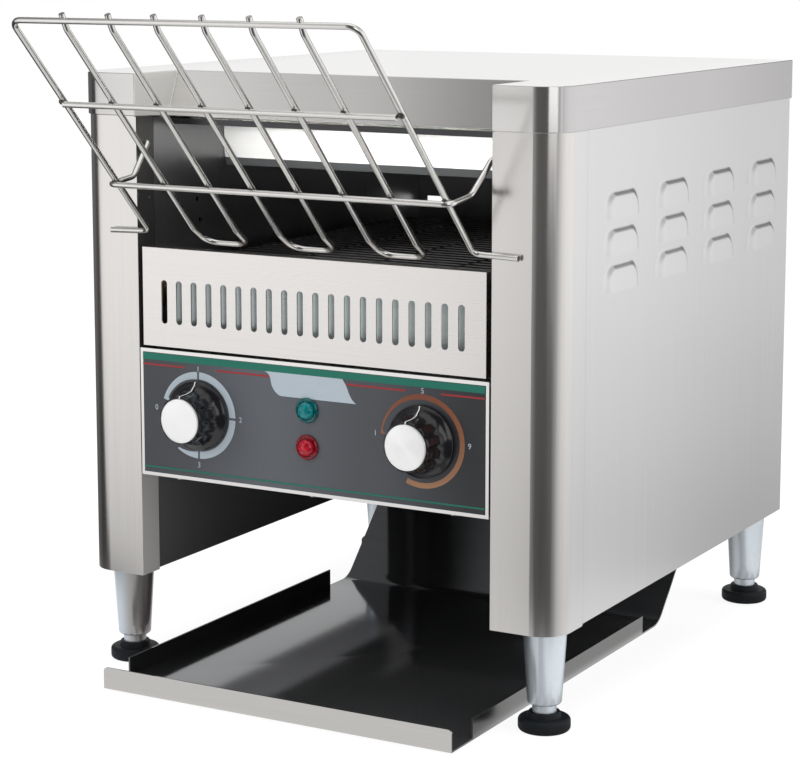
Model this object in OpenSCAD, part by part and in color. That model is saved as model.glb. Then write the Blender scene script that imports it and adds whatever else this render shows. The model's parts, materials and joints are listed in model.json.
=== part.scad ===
// Conveyor toaster: a counter-top machine that carries bread through a heated
// tunnel on a wire belt and drops the toast down a chute into a front tray.
// Lengths are millimetres. The front is towards -Y, and the feet stand on z = 0.

/* [Body] */
// Overall width across the side panels
body_w = 368; // [352:1:384]
// Depth from the front of the posts to the back
body_d = 400; // [394:1:412]
// Height of the top cover above the counter
body_h = 419; // [417:1:424]
// Thickness of the stainless sheet
sheet = 1.2; // [1:0.1:1.4]
// Height of the lower edge of the front posts
post_z = 69; // [68:0.5:70]
// Outer radius of the rounded front corners
corner_r = 20; // [16:1:22]
// Depth of the side of a front post
post_side = 38; // [34:1:42]
// Depth of the inner flange of a front post
post_flange = 20; // [16:1:22]
// Clear width between the front posts
bay_w = 272; // [270:0.5:273]

/* [Top cover] */
// Height of the folded edge of the top cover
cap_edge = 29; // [26:1:30]
// Depth of the front recess at its top
recess_top = 50.7; // [48:0.1:54]
// Depth of the front recess at its bottom
recess_foot = 38; // [34:1:42]

/* [Louvers] */
// Width of a louver
louver_w = 56; // [48:1:60]
// Height of a louver
louver_h = 17.5; // [14:0.5:19]
// How far a louver stands out
louver_out = 3.6; // [2.5:0.1:4.5]
// Distance between louver columns
louver_step_y = 84.8; // [80:0.1:88]
// Distance between louver rows
louver_step_z = 23.8; // [22:0.1:26]

/* [Conveyor] */
// Number of teeth on a belt sprocket, a multiple of four
belt_teeth = 12; // [12:4:12]
// Pitch radius of the belt round its sprockets
belt_r = 22; // [21:0.1:22.5]
// Number of wire pitches in each straight run
belt_run = 26; // [24:1:26]
// Radius of a belt wire
belt_wire = 1.1; // [0.9:0.1:1.2]
// Width of the belt
belt_w = 244; // [230:1:250]
// Height of the shafts
shaft_z = 266; // [265:0.5:267]
// Radius of the two shafts
shaft_r = 5; // [4:0.5:5]

/* [Heaters] */
// Radius of a heating tube
tube_r = 4; // [3:0.5:4.5]
// Height of the upper heating tubes
upper_tube_z = 357; // [356:0.5:358]
// Height of the lower heating tubes
lower_tube_z = 266; // [264:0.5:268]

/* [Front panels] */
// Width of the slotted guard
guard_w = 264.8; // [262:0.2:266]
// Bottom of the slotted guard
guard_z0 = 233; // [232.5:0.5:234]
// Top of the slotted guard
guard_z1 = 301; // [299:0.5:301]
// Number of slots
slot_count = 20; // [12:1:20]
// Width of a slot
slot_w = 4.7; // [4:0.1:6]
// Width of the control panel
panel_w = 270; // [268:0.5:270]
// Bottom of the control panel
panel_z0 = 142; // [141:0.5:143]
// Top of the control panel
panel_z1 = 231; // [230:0.5:231]
// Distance of each knob from the middle
knob_x = 87; // [84:1:88]
// Height of the knobs
knob_z = 188; // [186:1:190]
// Length of a knob
knob_len = 22.5; // [20:0.5:26]

/* [Loading rack] */
// Radius of the rack wire
wire_r = 2; // [1.6:0.1:2.2]
// Slope of the rack
rack_slope = 45.6; // [44.5:0.1:46]
// Length of the rack along its slope
rack_len = 205; // [204:0.5:206]
// Half the distance between the two outer rods
rack_half = 124.5; // [123:0.5:126]

/* [Toast tray] */
// Half the width of the tray
tray_half = 135; // [134:0.5:135]
// How far the tray stands out in front of the posts
tray_out = 49.4; // [44:0.1:54]
// Height of the tray walls
tray_wall = 15; // [12:0.5:18]
// Gap between the tray and the counter
tray_gap = 1.5; // [1:0.1:2]
// Slope of the chute
chute_slope = 46; // [45:0.5:47]

/* [Legs] */
// Distance of each leg from the middle, across the body
leg_x = 162.9; // [161:0.1:163.5]
// Distance of the front legs behind the posts' faces
leg_y0 = 26.2; // [25:0.1:28]
// Distance of the rear legs behind the posts' faces
leg_y1 = 382; // [378:0.5:383]
// Radius of the top of a leg
leg_top_r = 14.7; // [13:0.1:15]
// Radius of the foot pad
pad_r = 17.3; // [15:0.1:18]

/* [Hidden] */
$fn = 48;

half_w = body_w / 2;
bay = bay_w / 2;
cap_z = body_h - cap_edge;
panel_foot = post_z + 1.5;
seam = 0.4;
tuck = 6;
snug = 0.1;
back_in = body_d - 2 * sheet - 2 * snug;
running = 0.06;
fine = 0.3;

// Rack: the top bar's place, and places along the slope measured from it
rack_top_y = -146;
rack_top_z = 459;
rack_hook_y = 8;
rack_hook_z = 372;
rack_upper_bar = 73.5;
rack_lower_bar = 152.5;
rack_bar_out = 4.5;
rack_rods = [17.3, 50.8, 85.4];
rack_u_r = (rack_rods[2] - rack_rods[1]) / 2;
rack_rod_end = 201.5;
rack_toe = 12;
rack_pin_x = 156;
rack_curl = 3;
bend_grow = 1.06;

// Tray: the bend between its floor and the chute, and the top of the chute
bend_r = 20;
bend_y = 269.7;
floor_z = tray_gap + sheet;
rise_y = bend_y + bend_r * sin(chute_slope);
rise_z = floor_z + bend_r * (1 - cos(chute_slope));
chute_top_z = 100;
chute_top_y = rise_y + (chute_top_z - rise_z) / tan(chute_slope);
ear_len = 16;

// Conveyor: wires are one tooth pitch apart all round the loop
belt_pitch = 2 * PI * belt_r / belt_teeth;
idler_y = 37;
drive_y = idler_y + belt_run * belt_pitch;
sprocket_x = [-90, -30, 30, 90];
rail_x = [-118, -60, 0, 60, 118];

// Chain drive in the right-hand side cavity
chain_x = 149.5;
chain_w = 2.8;
motor_y = 286;
motor_z = 190;
small_teeth = 12;
large_teeth = 16;
chain_pitch = 6.35;
small_r = chain_pitch / 2 / sin(180 / small_teeth);
large_r = chain_pitch / 2 / sin(180 / large_teeth);

roof_z = 382.5;
mouth_y = 107;
mouth_z = 354.2;
upper_tubes_y = [140, 210, 280];
lower_tubes_y = [120, 250];
louver_y = 90.4;
louver_z = 315.3;
slots_span = 229.4;
slot_z0 = 249;
slot_z1 = 279;
lamp_z = [200, 175];
plate_y = -1;
control_back = 320;
fan_y = 165;
fan_z = 315;
fan_side = 80;
fan_depth = 25;
fan_hub_r = 17;
gland_x = -155;
gland_z = 112;
gland_out = 13;

// The whole is moved so that the middle of its depth is at y = 0
front_y = rack_top_y - wire_r * bend_grow;
back_y = body_d + gland_out;
mid_y = (front_y + back_y) / 2;

module placed() { translate([0, -mid_y, 0]) children(); }

// A flat shape given as [y, z], stretched along X about the middle
module along_x(len) { rotate([90, 0, 90]) linear_extrude(len, center = true) children(); }

// A round bar along X from x0 to x1
module bar_x(x0, x1, y, z, r) { translate([x0, y, z]) rotate([0, 90, 0]) cylinder(h = x1 - x0, r = r); }

// A round bar along Y from y0 to y1
module bar_y(y0, y1, x, z, r) { translate([x, y0, z]) rotate([-90, 0, 0]) cylinder(h = y1 - y0, r = r); }

module block(x0, x1, y0, y1, z0, z1) { translate([x0, y0, z0]) cube([x1 - x0, y1 - y0, z1 - z0]); }

module both_sides() {
    children();
    mirror([1, 0, 0]) children();
}

// Round wire between two points, with flat ends
module wire(p, q, r) {
    v = q - p;
    len = norm(v);
    translate(p) rotate([0, acos(v[2] / len), atan2(v[1], v[0])]) cylinder(h = len, r = r, $fn = 24);
}

// Rounded corner where two stretches of wire meet
module bend(p, r) { translate(p) sphere(r * bend_grow, $fn = 24); }

// Plan of the body's outer face moved outwards by grow, with rounded front corners
module body_plan(grow) {
    translate([-half_w - grow, corner_r]) square([body_w + 2 * grow, body_d + grow - corner_r]);
    translate([-half_w + corner_r, -grow]) square([body_w - 2 * corner_r, corner_r + grow]);
    for (s = [-1, 1]) translate([s * (half_w - corner_r), corner_r]) circle(corner_r + grow);
}

// A skin of one sheet thickness along the body's plan
module skin_plan(grow) {
    difference() {
        body_plan(grow);
        body_plan(grow - sheet);
    }
}

module post_plan() {
    intersection() {
        skin_plan(0);
        translate([bay, -1]) square([half_w, post_side + 1]);
    }
    translate([bay, 0]) square([sheet, post_flange]);
}

module post() {
    difference() {
        translate([0, 0, post_z]) linear_extrude(cap_z + tuck - post_z) post_plan();
        block(bay - 1, bay + sheet + fine, -1, post_flange + 1, cap_z - fine, cap_z + tuck + 1);
        bar_x(bay - 1, bay + 3, rack_hook_y, rack_hook_z, wire_r + running);
    }
}

module left_post() { color([0.80, 0.80, 0.78]) mirror([1, 0, 0]) post(); }

module right_post() { color([0.80, 0.80, 0.78]) post(); }

// Louver outline: square lower edge, round upper corners
module louver_outline(w, h) {
    r = min(8, h - 2);
    translate([-w / 2, 0]) square([w, h - r]);
    translate([-w / 2 + r, 0]) square([w - 2 * r, h]);
    for (s = [-1, 1]) translate([s * (w / 2 - r), h - r]) circle(r);
}

// Solid hood that stands out at its lower edge and dies away at its top
module louver_hood(w, h, out) {
    intersection() {
        rotate([90, 0, 90]) linear_extrude(out) louver_outline(w, h);
        rotate([90, 0, 0]) linear_extrude(w + 2, center = true)
            polygon([[0, 0], [out, 0], [out, h * 0.4], [0.2, h], [0, h]]);
    }
}

module louver_places() {
    for (col = [0 : 3], row = [-1 : 1])
        translate([half_w, louver_y + col * louver_step_y, louver_z - louver_h / 2 + row * louver_step_z])
            children();
}

module side_panel() {
    difference() {
        union() {
            block(half_w - sheet, half_w, post_side + seam, body_d, panel_foot, cap_z + tuck);
            block(half_w - 14, half_w, body_d - sheet, body_d, panel_foot, cap_z + tuck);
            louver_places() louver_hood(louver_w, louver_h, louver_out);
        }
        louver_places() translate([-sheet - 1, 0, -0.01])
            rotate([90, 0, 90]) linear_extrude(sheet + 1.01) louver_outline(louver_w - 2, louver_h - 4);
        louver_places() translate([0, 0, -0.01]) louver_hood(louver_w - 2, louver_h - 2, louver_out - 1);
    }
}

module left_side_panel() { color([0.78, 0.78, 0.80]) mirror([1, 0, 0]) side_panel(); }

module right_side_panel() { color([0.78, 0.78, 0.80]) side_panel(); }

// Inner wall with its bearing, heater and thermostat holes
module inner_wall() {
    difference() {
        block(bay, bay + sheet, post_flange + seam, back_in, panel_foot, cap_z - 2);
        for (y = [idler_y, drive_y]) bar_x(bay - 1, bay + 3, y, shaft_z, 8);
        for (y = upper_tubes_y) bar_x(bay - 1, bay + 3, y, upper_tube_z, 7);
        for (y = lower_tubes_y) bar_x(bay - 1, bay + 3, y, lower_tube_z, 7);
        bar_x(bay - 1, bay + 3, 73, 327, 2);
        bar_x(bay - 1, bay + 3, 76, 312, 2);
        children();
    }
}

module left_inner_wall() { color([0.32, 0.32, 0.33]) mirror([1, 0, 0]) inner_wall(); }

module right_inner_wall() {
    color([0.32, 0.32, 0.33]) inner_wall() bar_x(bay - 1, bay + 3, motor_y, motor_z, 9);
}

// Floor of each side cavity, which carries the legs
module floor_rails() {
    color([0.62, 0.62, 0.63]) both_sides() difference() {
        translate([0, 0, post_z + 2]) linear_extrude(2) intersection() {
            body_plan(-sheet - fine);
            translate([bay + sheet + fine, 0]) square([half_w, back_in]);
        }
        for (y = [leg_y0, leg_y1]) translate([leg_x, y, post_z]) cylinder(h = 6, r = 5.2);
    }
}

// Back, with rows of vents at its top and a slot level with each side of the belt
module rear_panel() {
    color([0.72, 0.72, 0.73]) difference() {
        block(-half_w + sheet + fine, half_w - sheet - fine, back_in + snug, back_in + snug + sheet,
            post_z + 5, cap_z + 3);
        for (row = [0 : 4], s = [-1, 1], col = [0 : 4]) translate([s * (40 + col * 22), 0, 330 + row * 10])
            block(-8, 8, body_d - 7, body_d, 0, 4);
        for (s = [-1, 1]) translate([s * 120, 0, 0]) block(-8, 8, body_d - 7, body_d, 292.5, 300);
        bar_y(body_d - 7, body_d, gland_x, gland_z, 8);
    }
}

// Top sheet with folded edges, corner caps over the posts and a leaning centre fascia
module top_cover() {
    color([0.86, 0.86, 0.86]) {
        difference() {
            union() {
                translate([0, 0, body_h - sheet]) linear_extrude(sheet) body_plan(sheet + snug);
                translate([0, 0, cap_z]) linear_extrude(cap_edge) skin_plan(sheet + snug);
            }
            block(-bay, bay, -10, recess_top, cap_z - 1, body_h + 1);
        }
        both_sides() block(bay, bay + sheet, -sheet, recess_top, cap_z, body_h);
        along_x(bay_w + 2 * snug) polygon([
            [recess_top, body_h], [recess_top + sheet, body_h], [recess_top + sheet, body_h - sheet],
            [recess_foot + sheet, cap_z - 2], [recess_foot, cap_z - 2]]);
        block(-bay + fine, bay - fine, recess_foot, recess_foot + 12, cap_z - 2 - sheet, cap_z - 2);
    }
}

// Roof of the tunnel, with its front edge folded up behind the fascia
module tunnel_roof() {
    roof_y = recess_foot + 1;
    color([0.25, 0.25, 0.26]) {
        block(-bay + seam, bay - seam, roof_y, body_d - 6, roof_z, roof_z + sheet);
        block(-bay + seam, bay - seam, roof_y, roof_y + sheet, roof_z, cap_z - 2 - sheet - fine);
    }
}

module insulation() {
    color([0.75, 0.73, 0.66]) block(-bay + 4, bay - 4, 60, body_d - 10, roof_z + sheet + fine, 412);
}

// Bright sheet above the bread mouth, whose foot is folded back
module mouth_shield() {
    fold_y = 3;
    fold_z = 5.8;
    color([0.90, 0.90, 0.88]) along_x(bay_w - 2 * seam) polygon([
        [mouth_y, roof_z - fine], [mouth_y + 1, roof_z - fine], [mouth_y + 1, mouth_z],
        [mouth_y + 1 + fold_y, mouth_z - fold_z], [mouth_y + fold_y, mouth_z - fold_z], [mouth_y, mouth_z]]);
}

module upper_reflector() {
    color([0.6, 0.6, 0.6]) {
        block(-128, 128, 112, 330, 368, 369);
        for (y = [112, 329]) block(-128, 128, y, y + 1, 360, 368);
    }
}

module lower_reflector() {
    color([0.6, 0.6, 0.6]) {
        block(-bay + fine, bay - fine, 76, 300, 251, 252);
        for (y = [76, 299]) block(-bay + fine, bay - fine, y, y + 1, 252, 258);
    }
}

// Sheathed heating tubes
module upper_heaters() {
    color([0.35, 0.33, 0.32]) for (y = upper_tubes_y) bar_x(-bay - 12, bay + 12, y, upper_tube_z, tube_r);
}

module lower_heaters() {
    color([0.35, 0.33, 0.32]) for (y = lower_tubes_y) bar_x(-bay - 12, bay + 12, y, lower_tube_z, tube_r);
}

// Ceramic bush that holds one end of a heating tube in the inner wall
module insulator(y, z) {
    difference() {
        union() {
            bar_x(bay - 2, bay + 8, y, z, 6.9);
            bar_x(bay - 4, bay - snug, y, z, 9);
        }
        bar_x(bay - 6, bay + 10, y, z, tube_r + running);
    }
}

module heater_insulators() {
    color([0.93, 0.91, 0.86]) both_sides() {
        for (y = upper_tubes_y) insulator(y, upper_tube_z);
        for (y = lower_tubes_y) insulator(y, lower_tube_z);
    }
}

// Curved sheet that turns the toast down at the back of the belt
module rear_deflector() {
    color([0.45, 0.45, 0.46]) along_x(bay_w - 2) intersection() {
        translate([350, 334]) difference() {
            circle(43);
            circle(42);
        }
        translate([350, 334]) square(60);
    }
}

module slot_row() {
    pitch = slots_span / (slot_count - 1);
    for (i = [0 : slot_count - 1]) translate([(i - (slot_count - 1) / 2) * pitch, 0, 0]) children();
}

module slotted_guard() {
    color([0.90, 0.90, 0.89]) difference() {
        union() {
            block(-guard_w / 2, guard_w / 2, 0, sheet, guard_z0, guard_z1);
            block(-guard_w / 2, guard_w / 2, sheet, 11, guard_z1 - sheet, guard_z1);
            both_sides() block(guard_w / 2 - sheet, guard_w / 2, sheet, 8, guard_z0, guard_z1);
        }
        slot_row() {
            block(-slot_w / 2, slot_w / 2, -1, sheet + 1, slot_z0 + slot_w / 2, slot_z1 - slot_w / 2);
            for (z = [slot_z0 + slot_w / 2, slot_z1 - slot_w / 2]) bar_y(-1, sheet + 1, 0, z, slot_w / 2);
        }
    }
}

module guard_backing() { color([0.88, 0.88, 0.87]) block(-115, 128, 8.2, 9.2, guard_z0, guard_z1 - 2.5); }

module control_panel() {
    color([0.82, 0.83, 0.83]) difference() {
        union() {
            block(-panel_w / 2, panel_w / 2, plate_y + 0.5, plate_y + 1.7, panel_z0, panel_z1);
            for (z = [panel_z0, panel_z1 - sheet])
                block(-panel_w / 2, panel_w / 2, plate_y + 1.7, 12, z, z + sheet);
        }
        for (s = [-1, 1]) bar_y(-5, 5, s * knob_x, knob_z, 5.2);
        for (z = lamp_z) bar_y(-5, 5, 0, z, 6.1);
        for (x = [-107, 0, 107]) translate([x, 7, panel_z0 - 1]) cylinder(h = 5, r = 1.9);
    }
}

module control_overlay() {
    color([0.27, 0.27, 0.29]) difference() {
        block(-panel_w / 2 + 2.5, panel_w / 2 - 2.5, plate_y, plate_y + 0.5, panel_z0 + 2.5, panel_z1 - 2.5);
        for (s = [-1, 1]) bar_y(-5, 5, s * knob_x, knob_z, 5.2);
        for (z = lamp_z) bar_y(-5, 5, 0, z, 6.1);
    }
}

// Floor and back of the control compartment
module control_box() {
    floor_z0 = panel_z0 + sheet + snug;
    color([0.55, 0.55, 0.56]) difference() {
        union() {
            block(-bay + 1, bay - 1, 2, control_back, floor_z0, floor_z0 + sheet);
            block(-bay + 1, bay - 1, control_back - sheet, control_back, floor_z0, panel_z1 - 1);
        }
        for (x = [-107, 0, 107]) translate([x, 7, panel_z0 - 1]) cylinder(h = 9, r = 1.6);
        for (i = [-4 : 4]) block(i * 22 - 7, i * 22 + 7, control_back - 4, control_back + 2, 160, 164);
    }
}

module control_box_lid() {
    color([0.55, 0.55, 0.56])
        block(-bay + 1, bay - 1, 13, control_back, panel_z1 - sheet + fine, panel_z1 + fine);
}

// Screws up into the foot of the control panel
module control_screws() {
    color([0.75, 0.75, 0.76]) for (x = [-107, 0, 107]) translate([x, 7, panel_z0 - 1.8]) {
        cylinder(h = 1.8, r = 3.4);
        cylinder(h = 9, r = 1.5);
    }
}

// Moulded knob with a flared skirt and a fluted grip; its cap fills the recess in its face
module knob() {
    translate([0, plate_y - 0.9, knob_z]) rotate([90, 0, 0]) difference() {
        union() {
            rotate_extrude() polygon([[0, 0], [24, 0], [24, 2.4], [20.5, 4], [18, 7.5], [0, 7.5]]);
            translate([0, 0, 7.5]) cylinder(h = knob_len - 8.1, r = 17);
        }
        translate([0, 0, -1]) cylinder(h = knob_len + 2, r = 3);
        translate([0, 0, knob_len - 2]) cylinder(h = 3, r = 15.2);
        for (i = [0 : 11]) rotate([0, 0, i * 30 + 15]) translate([18.4, 0, 9]) cylinder(h = knob_len, r = 2.2);
    }
}

module knob_cap() {
    translate([0, plate_y - 0.9 - knob_len + 1.98, knob_z]) rotate([90, 0, 0]) cylinder(h = 1.98, r = 15.1);
}

module control_shaft() { bar_y(plate_y - 0.9 - knob_len + 4, 24, 0, knob_z, 3); }

module selector_knob() { color([0.05, 0.05, 0.05]) translate([-knob_x, 0, 0]) knob(); }

module selector_knob_cap() { color([0.92, 0.92, 0.92]) translate([-knob_x, 0, 0]) knob_cap(); }

module selector_shaft() { color([0.6, 0.6, 0.6]) translate([-knob_x, 0, 0]) control_shaft(); }

module speed_knob() { color([0.05, 0.05, 0.05]) translate([knob_x, 0, 0]) knob(); }

module speed_knob_cap() { color([0.92, 0.92, 0.92]) translate([knob_x, 0, 0]) knob_cap(); }

module speed_shaft() { color([0.6, 0.6, 0.6]) translate([knob_x, 0, 0]) control_shaft(); }

// Rotary heat switch with its row of spade terminals
module selector_switch() {
    color([0.16, 0.16, 0.17]) difference() {
        union() {
            block(-knob_x - 22, -knob_x + 22, 1, 46, knob_z - 22, knob_z + 22);
            for (x = [-14, 0, 14], z = [-12, 12])
                block(-knob_x + x - 3, -knob_x + x + 3, 46, 54, knob_z + z - 0.5, knob_z + z + 0.5);
        }
        bar_y(-1, 25, -knob_x, knob_z, 3 + running);
    }
}

// Belt speed control: potentiometer can on a small board
module speed_control() {
    color([0.20, 0.30, 0.22]) difference() {
        union() {
            bar_y(1, 26, knob_x, knob_z, 12);
            block(knob_x - 30, knob_x + 30, 26, 28, knob_z - 24, knob_z + 24);
            for (x = [-18, 4]) block(knob_x + x, knob_x + x + 14, 28, 44, knob_z - 18, knob_z + 12);
        }
        bar_y(-1, 25, knob_x, knob_z, 3 + running);
    }
}

// Pilot lamp: domed lens, collar and barrel
module lamp() {
    translate([0, plate_y, 0]) rotate([90, 0, 0]) {
        rotate_extrude() polygon([
            [0, 0], [8.5, 0], [8.5, 1.2], [8, 2], [7.2, 2.2], [6.6, 3.4], [5, 4.8], [2.6, 5.6], [0, 5.8]]);
        translate([0, 0, -22]) cylinder(h = 22, r = 6);
    }
}

module power_lamp() { color([0.0, 0.55, 0.50]) translate([0, 0, lamp_z[0]]) lamp(); }

module warning_lamp() { color([0.80, 0.06, 0.12]) translate([0, 0, lamp_z[1]]) lamp(); }

// Side view of a band round both belt sprockets, at radius r
module belt_side(r) {
    translate([idler_y, shaft_z]) circle(r);
    translate([drive_y, shaft_z]) circle(r);
    translate([idler_y, shaft_z - r]) square([drive_y - idler_y, 2 * r]);
}

module belt_cross(y, z) { bar_x(-belt_w / 2, belt_w / 2, y, z, belt_wire, $fn = 16); }

// Wire belt: cross wires one pitch apart, joined by five rows of links
module conveyor_belt() {
    color([0.42, 0.42, 0.42]) {
        for (i = [0 : belt_run], s = [-1, 1])
            belt_cross(idler_y + i * belt_pitch, shaft_z + s * belt_r);
        for (k = [1 : belt_teeth / 2 - 1]) {
            a = 90 + k * 360 / belt_teeth;
            for (y = [idler_y + belt_r * cos(a), drive_y - belt_r * cos(a)])
                belt_cross(y, shaft_z + belt_r * sin(a));
        }
        for (x = rail_x) translate([x, 0, 0]) along_x(2.4) difference() {
            belt_side(belt_r + 0.6);
            belt_side(belt_r - 0.6);
        }
    }
}

module shaft(y, x0, x1) { bar_x(x0, x1, y, shaft_z, shaft_r); }

module drive_shaft() { color([0.62, 0.62, 0.64]) shaft(drive_y, -bay - 10, chain_x + 4); }

module idler_shaft() { color([0.62, 0.62, 0.64]) shaft(idler_y, -bay - 10, bay + 10); }

// Notched wheel that carries the belt's cross wires on its rim
module belt_sprocket(y) {
    rim_r = belt_r - belt_wire - fine;
    for (x = sprocket_x) translate([x, y, shaft_z]) rotate([0, 90, 0]) difference() {
        union() {
            translate([0, 0, -2]) cylinder(h = 4, r = rim_r);
            translate([0, 0, -7]) cylinder(h = 14, r = 10);
        }
        translate([0, 0, -8]) cylinder(h = 16, r = shaft_r);
        for (i = [0 : belt_teeth - 1]) rotate([0, 0, i * 360 / belt_teeth])
            translate([rim_r + 0.4, 0, -3]) cylinder(h = 6, r = 2.2, $fn = 24);
    }
}

module drive_sprockets() { color([0.35, 0.35, 0.36]) belt_sprocket(drive_y); }

module idler_sprockets() { color([0.35, 0.35, 0.36]) belt_sprocket(idler_y); }

module shaft_bushes() {
    color([0.72, 0.55, 0.30]) both_sides() for (y = [idler_y, drive_y]) difference() {
        union() {
            bar_x(bay - snug, bay + 5, y, shaft_z, 7.95);
            bar_x(bay - 2.5, bay - snug, y, shaft_z, 11);
        }
        bar_x(bay - 4, bay + 7, y, shaft_z, shaft_r + running);
    }
}

// Chainwheel with round-bottomed tooth gaps and a hub
module chainwheel(y, z, teeth, r, bore) {
    translate([chain_x, y, z]) rotate([0, 90, 0]) difference() {
        union() {
            translate([0, 0, -chain_w / 2]) cylinder(h = chain_w, r = r + 1.6);
            translate([0, 0, -5]) cylinder(h = 4, r = bore + 4);
        }
        translate([0, 0, -6]) cylinder(h = 12, r = bore);
        for (i = [0 : teeth - 1]) rotate([0, 0, i * 360 / teeth])
            translate([r, 0, -6]) cylinder(h = 12, r = 1.75, $fn = 24);
    }
}

module shaft_chainwheel() {
    color([0.30, 0.30, 0.31]) chainwheel(drive_y, shaft_z, large_teeth, large_r, shaft_r);
}

module motor_chainwheel() { color([0.30, 0.30, 0.31]) chainwheel(motor_y, motor_z, small_teeth, small_r, 4); }

module motor_shaft() { color([0.62, 0.62, 0.64]) bar_x(114, chain_x + 4, motor_y, motor_z, 4); }

// Outline round both chainwheels: two circles and the band between their outer tangents
module chain_side(grow) {
    a = small_r + grow;
    b = large_r + grow;
    dy = drive_y - motor_y;
    dz = shaft_z - motor_z;
    dist = norm([dy, dz]);
    dir = atan2(dz, dy);
    lean = acos((a - b) / dist);
    translate([motor_y, motor_z]) circle(a);
    translate([drive_y, shaft_z]) circle(b);
    polygon([
        [motor_y + a * cos(dir + lean), motor_z + a * sin(dir + lean)],
        [drive_y + b * cos(dir + lean), shaft_z + b * sin(dir + lean)],
        [drive_y + b * cos(dir - lean), shaft_z + b * sin(dir - lean)],
        [motor_y + a * cos(dir - lean), motor_z + a * sin(dir - lean)]]);
}

// Roller chain: its two rows of side plates run either side of the wheels' teeth
module drive_chain() {
    color([0.25, 0.25, 0.26]) for (s = [-1, 1])
        translate([chain_x + s * (chain_w / 2 + 0.9), 0, 0]) along_x(0.9) difference() {
            chain_side(2.4);
            chain_side(-2.4);
        }
}

// Gearbox on the inner wall, with its motor behind
module gear_motor() {
    color([0.45, 0.46, 0.48]) difference() {
        union() {
            block(110, bay - snug, motor_y - 30, motor_y + 30, motor_z - 30, motor_z + 30);
            bar_x(56, 111, motor_y, motor_z, 25);
            bar_x(bay - 1, bay + 6, motor_y, motor_z, 8.9);
        }
        bar_x(113, bay + 8, motor_y, motor_z, 4 + running);
    }
}

// Axial fan against the left side panel: a square frame, and a hub on three struts
module fan_frame() {
    x0 = -half_w + sheet + snug;
    color([0.10, 0.10, 0.10]) difference() {
        union() {
            difference() {
                translate([x0, fan_y - fan_side / 2, fan_z - fan_side / 2])
                    cube([fan_depth, fan_side, fan_side]);
                bar_x(x0 - 1, x0 + fan_depth + 1, fan_y, fan_z, 37.5);
            }
            bar_x(x0 + 19, x0 + fan_depth, fan_y, fan_z, fan_hub_r);
            for (a = [90, 210, 330]) translate([x0 + 20.5, fan_y, fan_z]) rotate([a, 0, 0])
                translate([0, -2, 0]) cube([4, 4, 38.5]);
        }
        bar_x(x0 + 12, x0 + fan_depth - 1, fan_y, fan_z, 1.5 + running);
        for (y = [-1, 1], z = [-1, 1])
            bar_x(x0 - 1, x0 + fan_depth + 1, fan_y + y * 35.7, fan_z + z * 35.7, 2.1);
    }
}

// Seven pitched blades on a cupped hub, with its pin in the frame's bearing
module fan_rotor() {
    x0 = -half_w + sheet + snug;
    color([0.14, 0.14, 0.15]) {
        bar_x(x0 + 3, x0 + 18, fan_y, fan_z, fan_hub_r - 0.5);
        bar_x(x0 + 17, x0 + 23, fan_y, fan_z, 1.5);
        for (i = [0 : 6]) translate([x0 + 10.5, fan_y, fan_z]) rotate([i * 360 / 7, 0, 0]) rotate([0, 0, 38])
            translate([-0.8, -9, 12]) cube([1.6, 18, 23]);
    }
}

module terminal_block() {
    color([0.90, 0.90, 0.86]) difference() {
        block(-bay - 26, -bay - sheet - snug, 330, 384, 150, 172);
        for (i = [0 : 4]) bar_x(-bay - 27, -bay - 19, 336 + i * 10.5, 161, 3);
    }
}

// Strain relief through the rear panel for the supply cord
module cord_gland() {
    color([0.08, 0.08, 0.08]) difference() {
        union() {
            bar_y(body_d - 10, body_d + gland_out, gland_x, gland_z, 7.9);
            bar_y(back_in + sheet + 2 * snug, body_d + 4, gland_x, gland_z, 12);
            bar_y(body_d - 10, back_in, gland_x, gland_z, 11);
        }
        bar_y(body_d - 12, body_d + gland_out + 1, gland_x, gland_z, 4.5);
    }
}

module leg_places() {
    for (x = [-leg_x, leg_x], y = [leg_y0, leg_y1]) translate([x, y, 0]) children();
}

// Tapered metal leg: blind bore for the foot's stem, and a threaded end through the rail
module legs() {
    color([0.80, 0.82, 0.84]) leg_places() difference() {
        union() {
            translate([0, 0, 19.2]) cylinder(h = post_z + 2 - 19.2, r1 = 11.4, r2 = leg_top_r);
            translate([0, 0, 18]) cylinder(h = 1.2, r1 = 10.6, r2 = 11.4);
            translate([0, 0, post_z + 1]) cylinder(h = 13, r = 5);
        }
        translate([0, 0, 17]) cylinder(h = 37, r = 8.1 + running);
    }
}

module leg_nuts() {
    color([0.70, 0.70, 0.71]) leg_places() translate([0, 0, post_z + 4]) difference() {
        cylinder(h = 8, r = 9.4, $fn = 6);
        translate([0, 0, -1]) cylinder(h = 10, r = 5.05);
    }
}

// Rubber pad with rounded edges and a collar, and the stem that screws into the leg
module foot(sx, y) {
    edge_r = 2.4;
    pad_h = 8.8;
    color([0.07, 0.07, 0.07]) translate([sx * leg_x, y, 0]) {
        rotate_extrude() {
            square([pad_r - edge_r, pad_h]);
            translate([0, edge_r]) square([pad_r, pad_h - 2 * edge_r]);
            for (z = [edge_r, pad_h - edge_r]) translate([pad_r - edge_r, z]) circle(edge_r);
            square([10.6, pad_h + 3.6]);
        }
        cylinder(h = 42, r = 8.1);
    }
}

module foot_front_left() { foot(-1, leg_y0); }

module foot_front_right() { foot(1, leg_y0); }

module foot_rear_left() { foot(-1, leg_y1); }

module foot_rear_right() { foot(1, leg_y1); }

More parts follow.
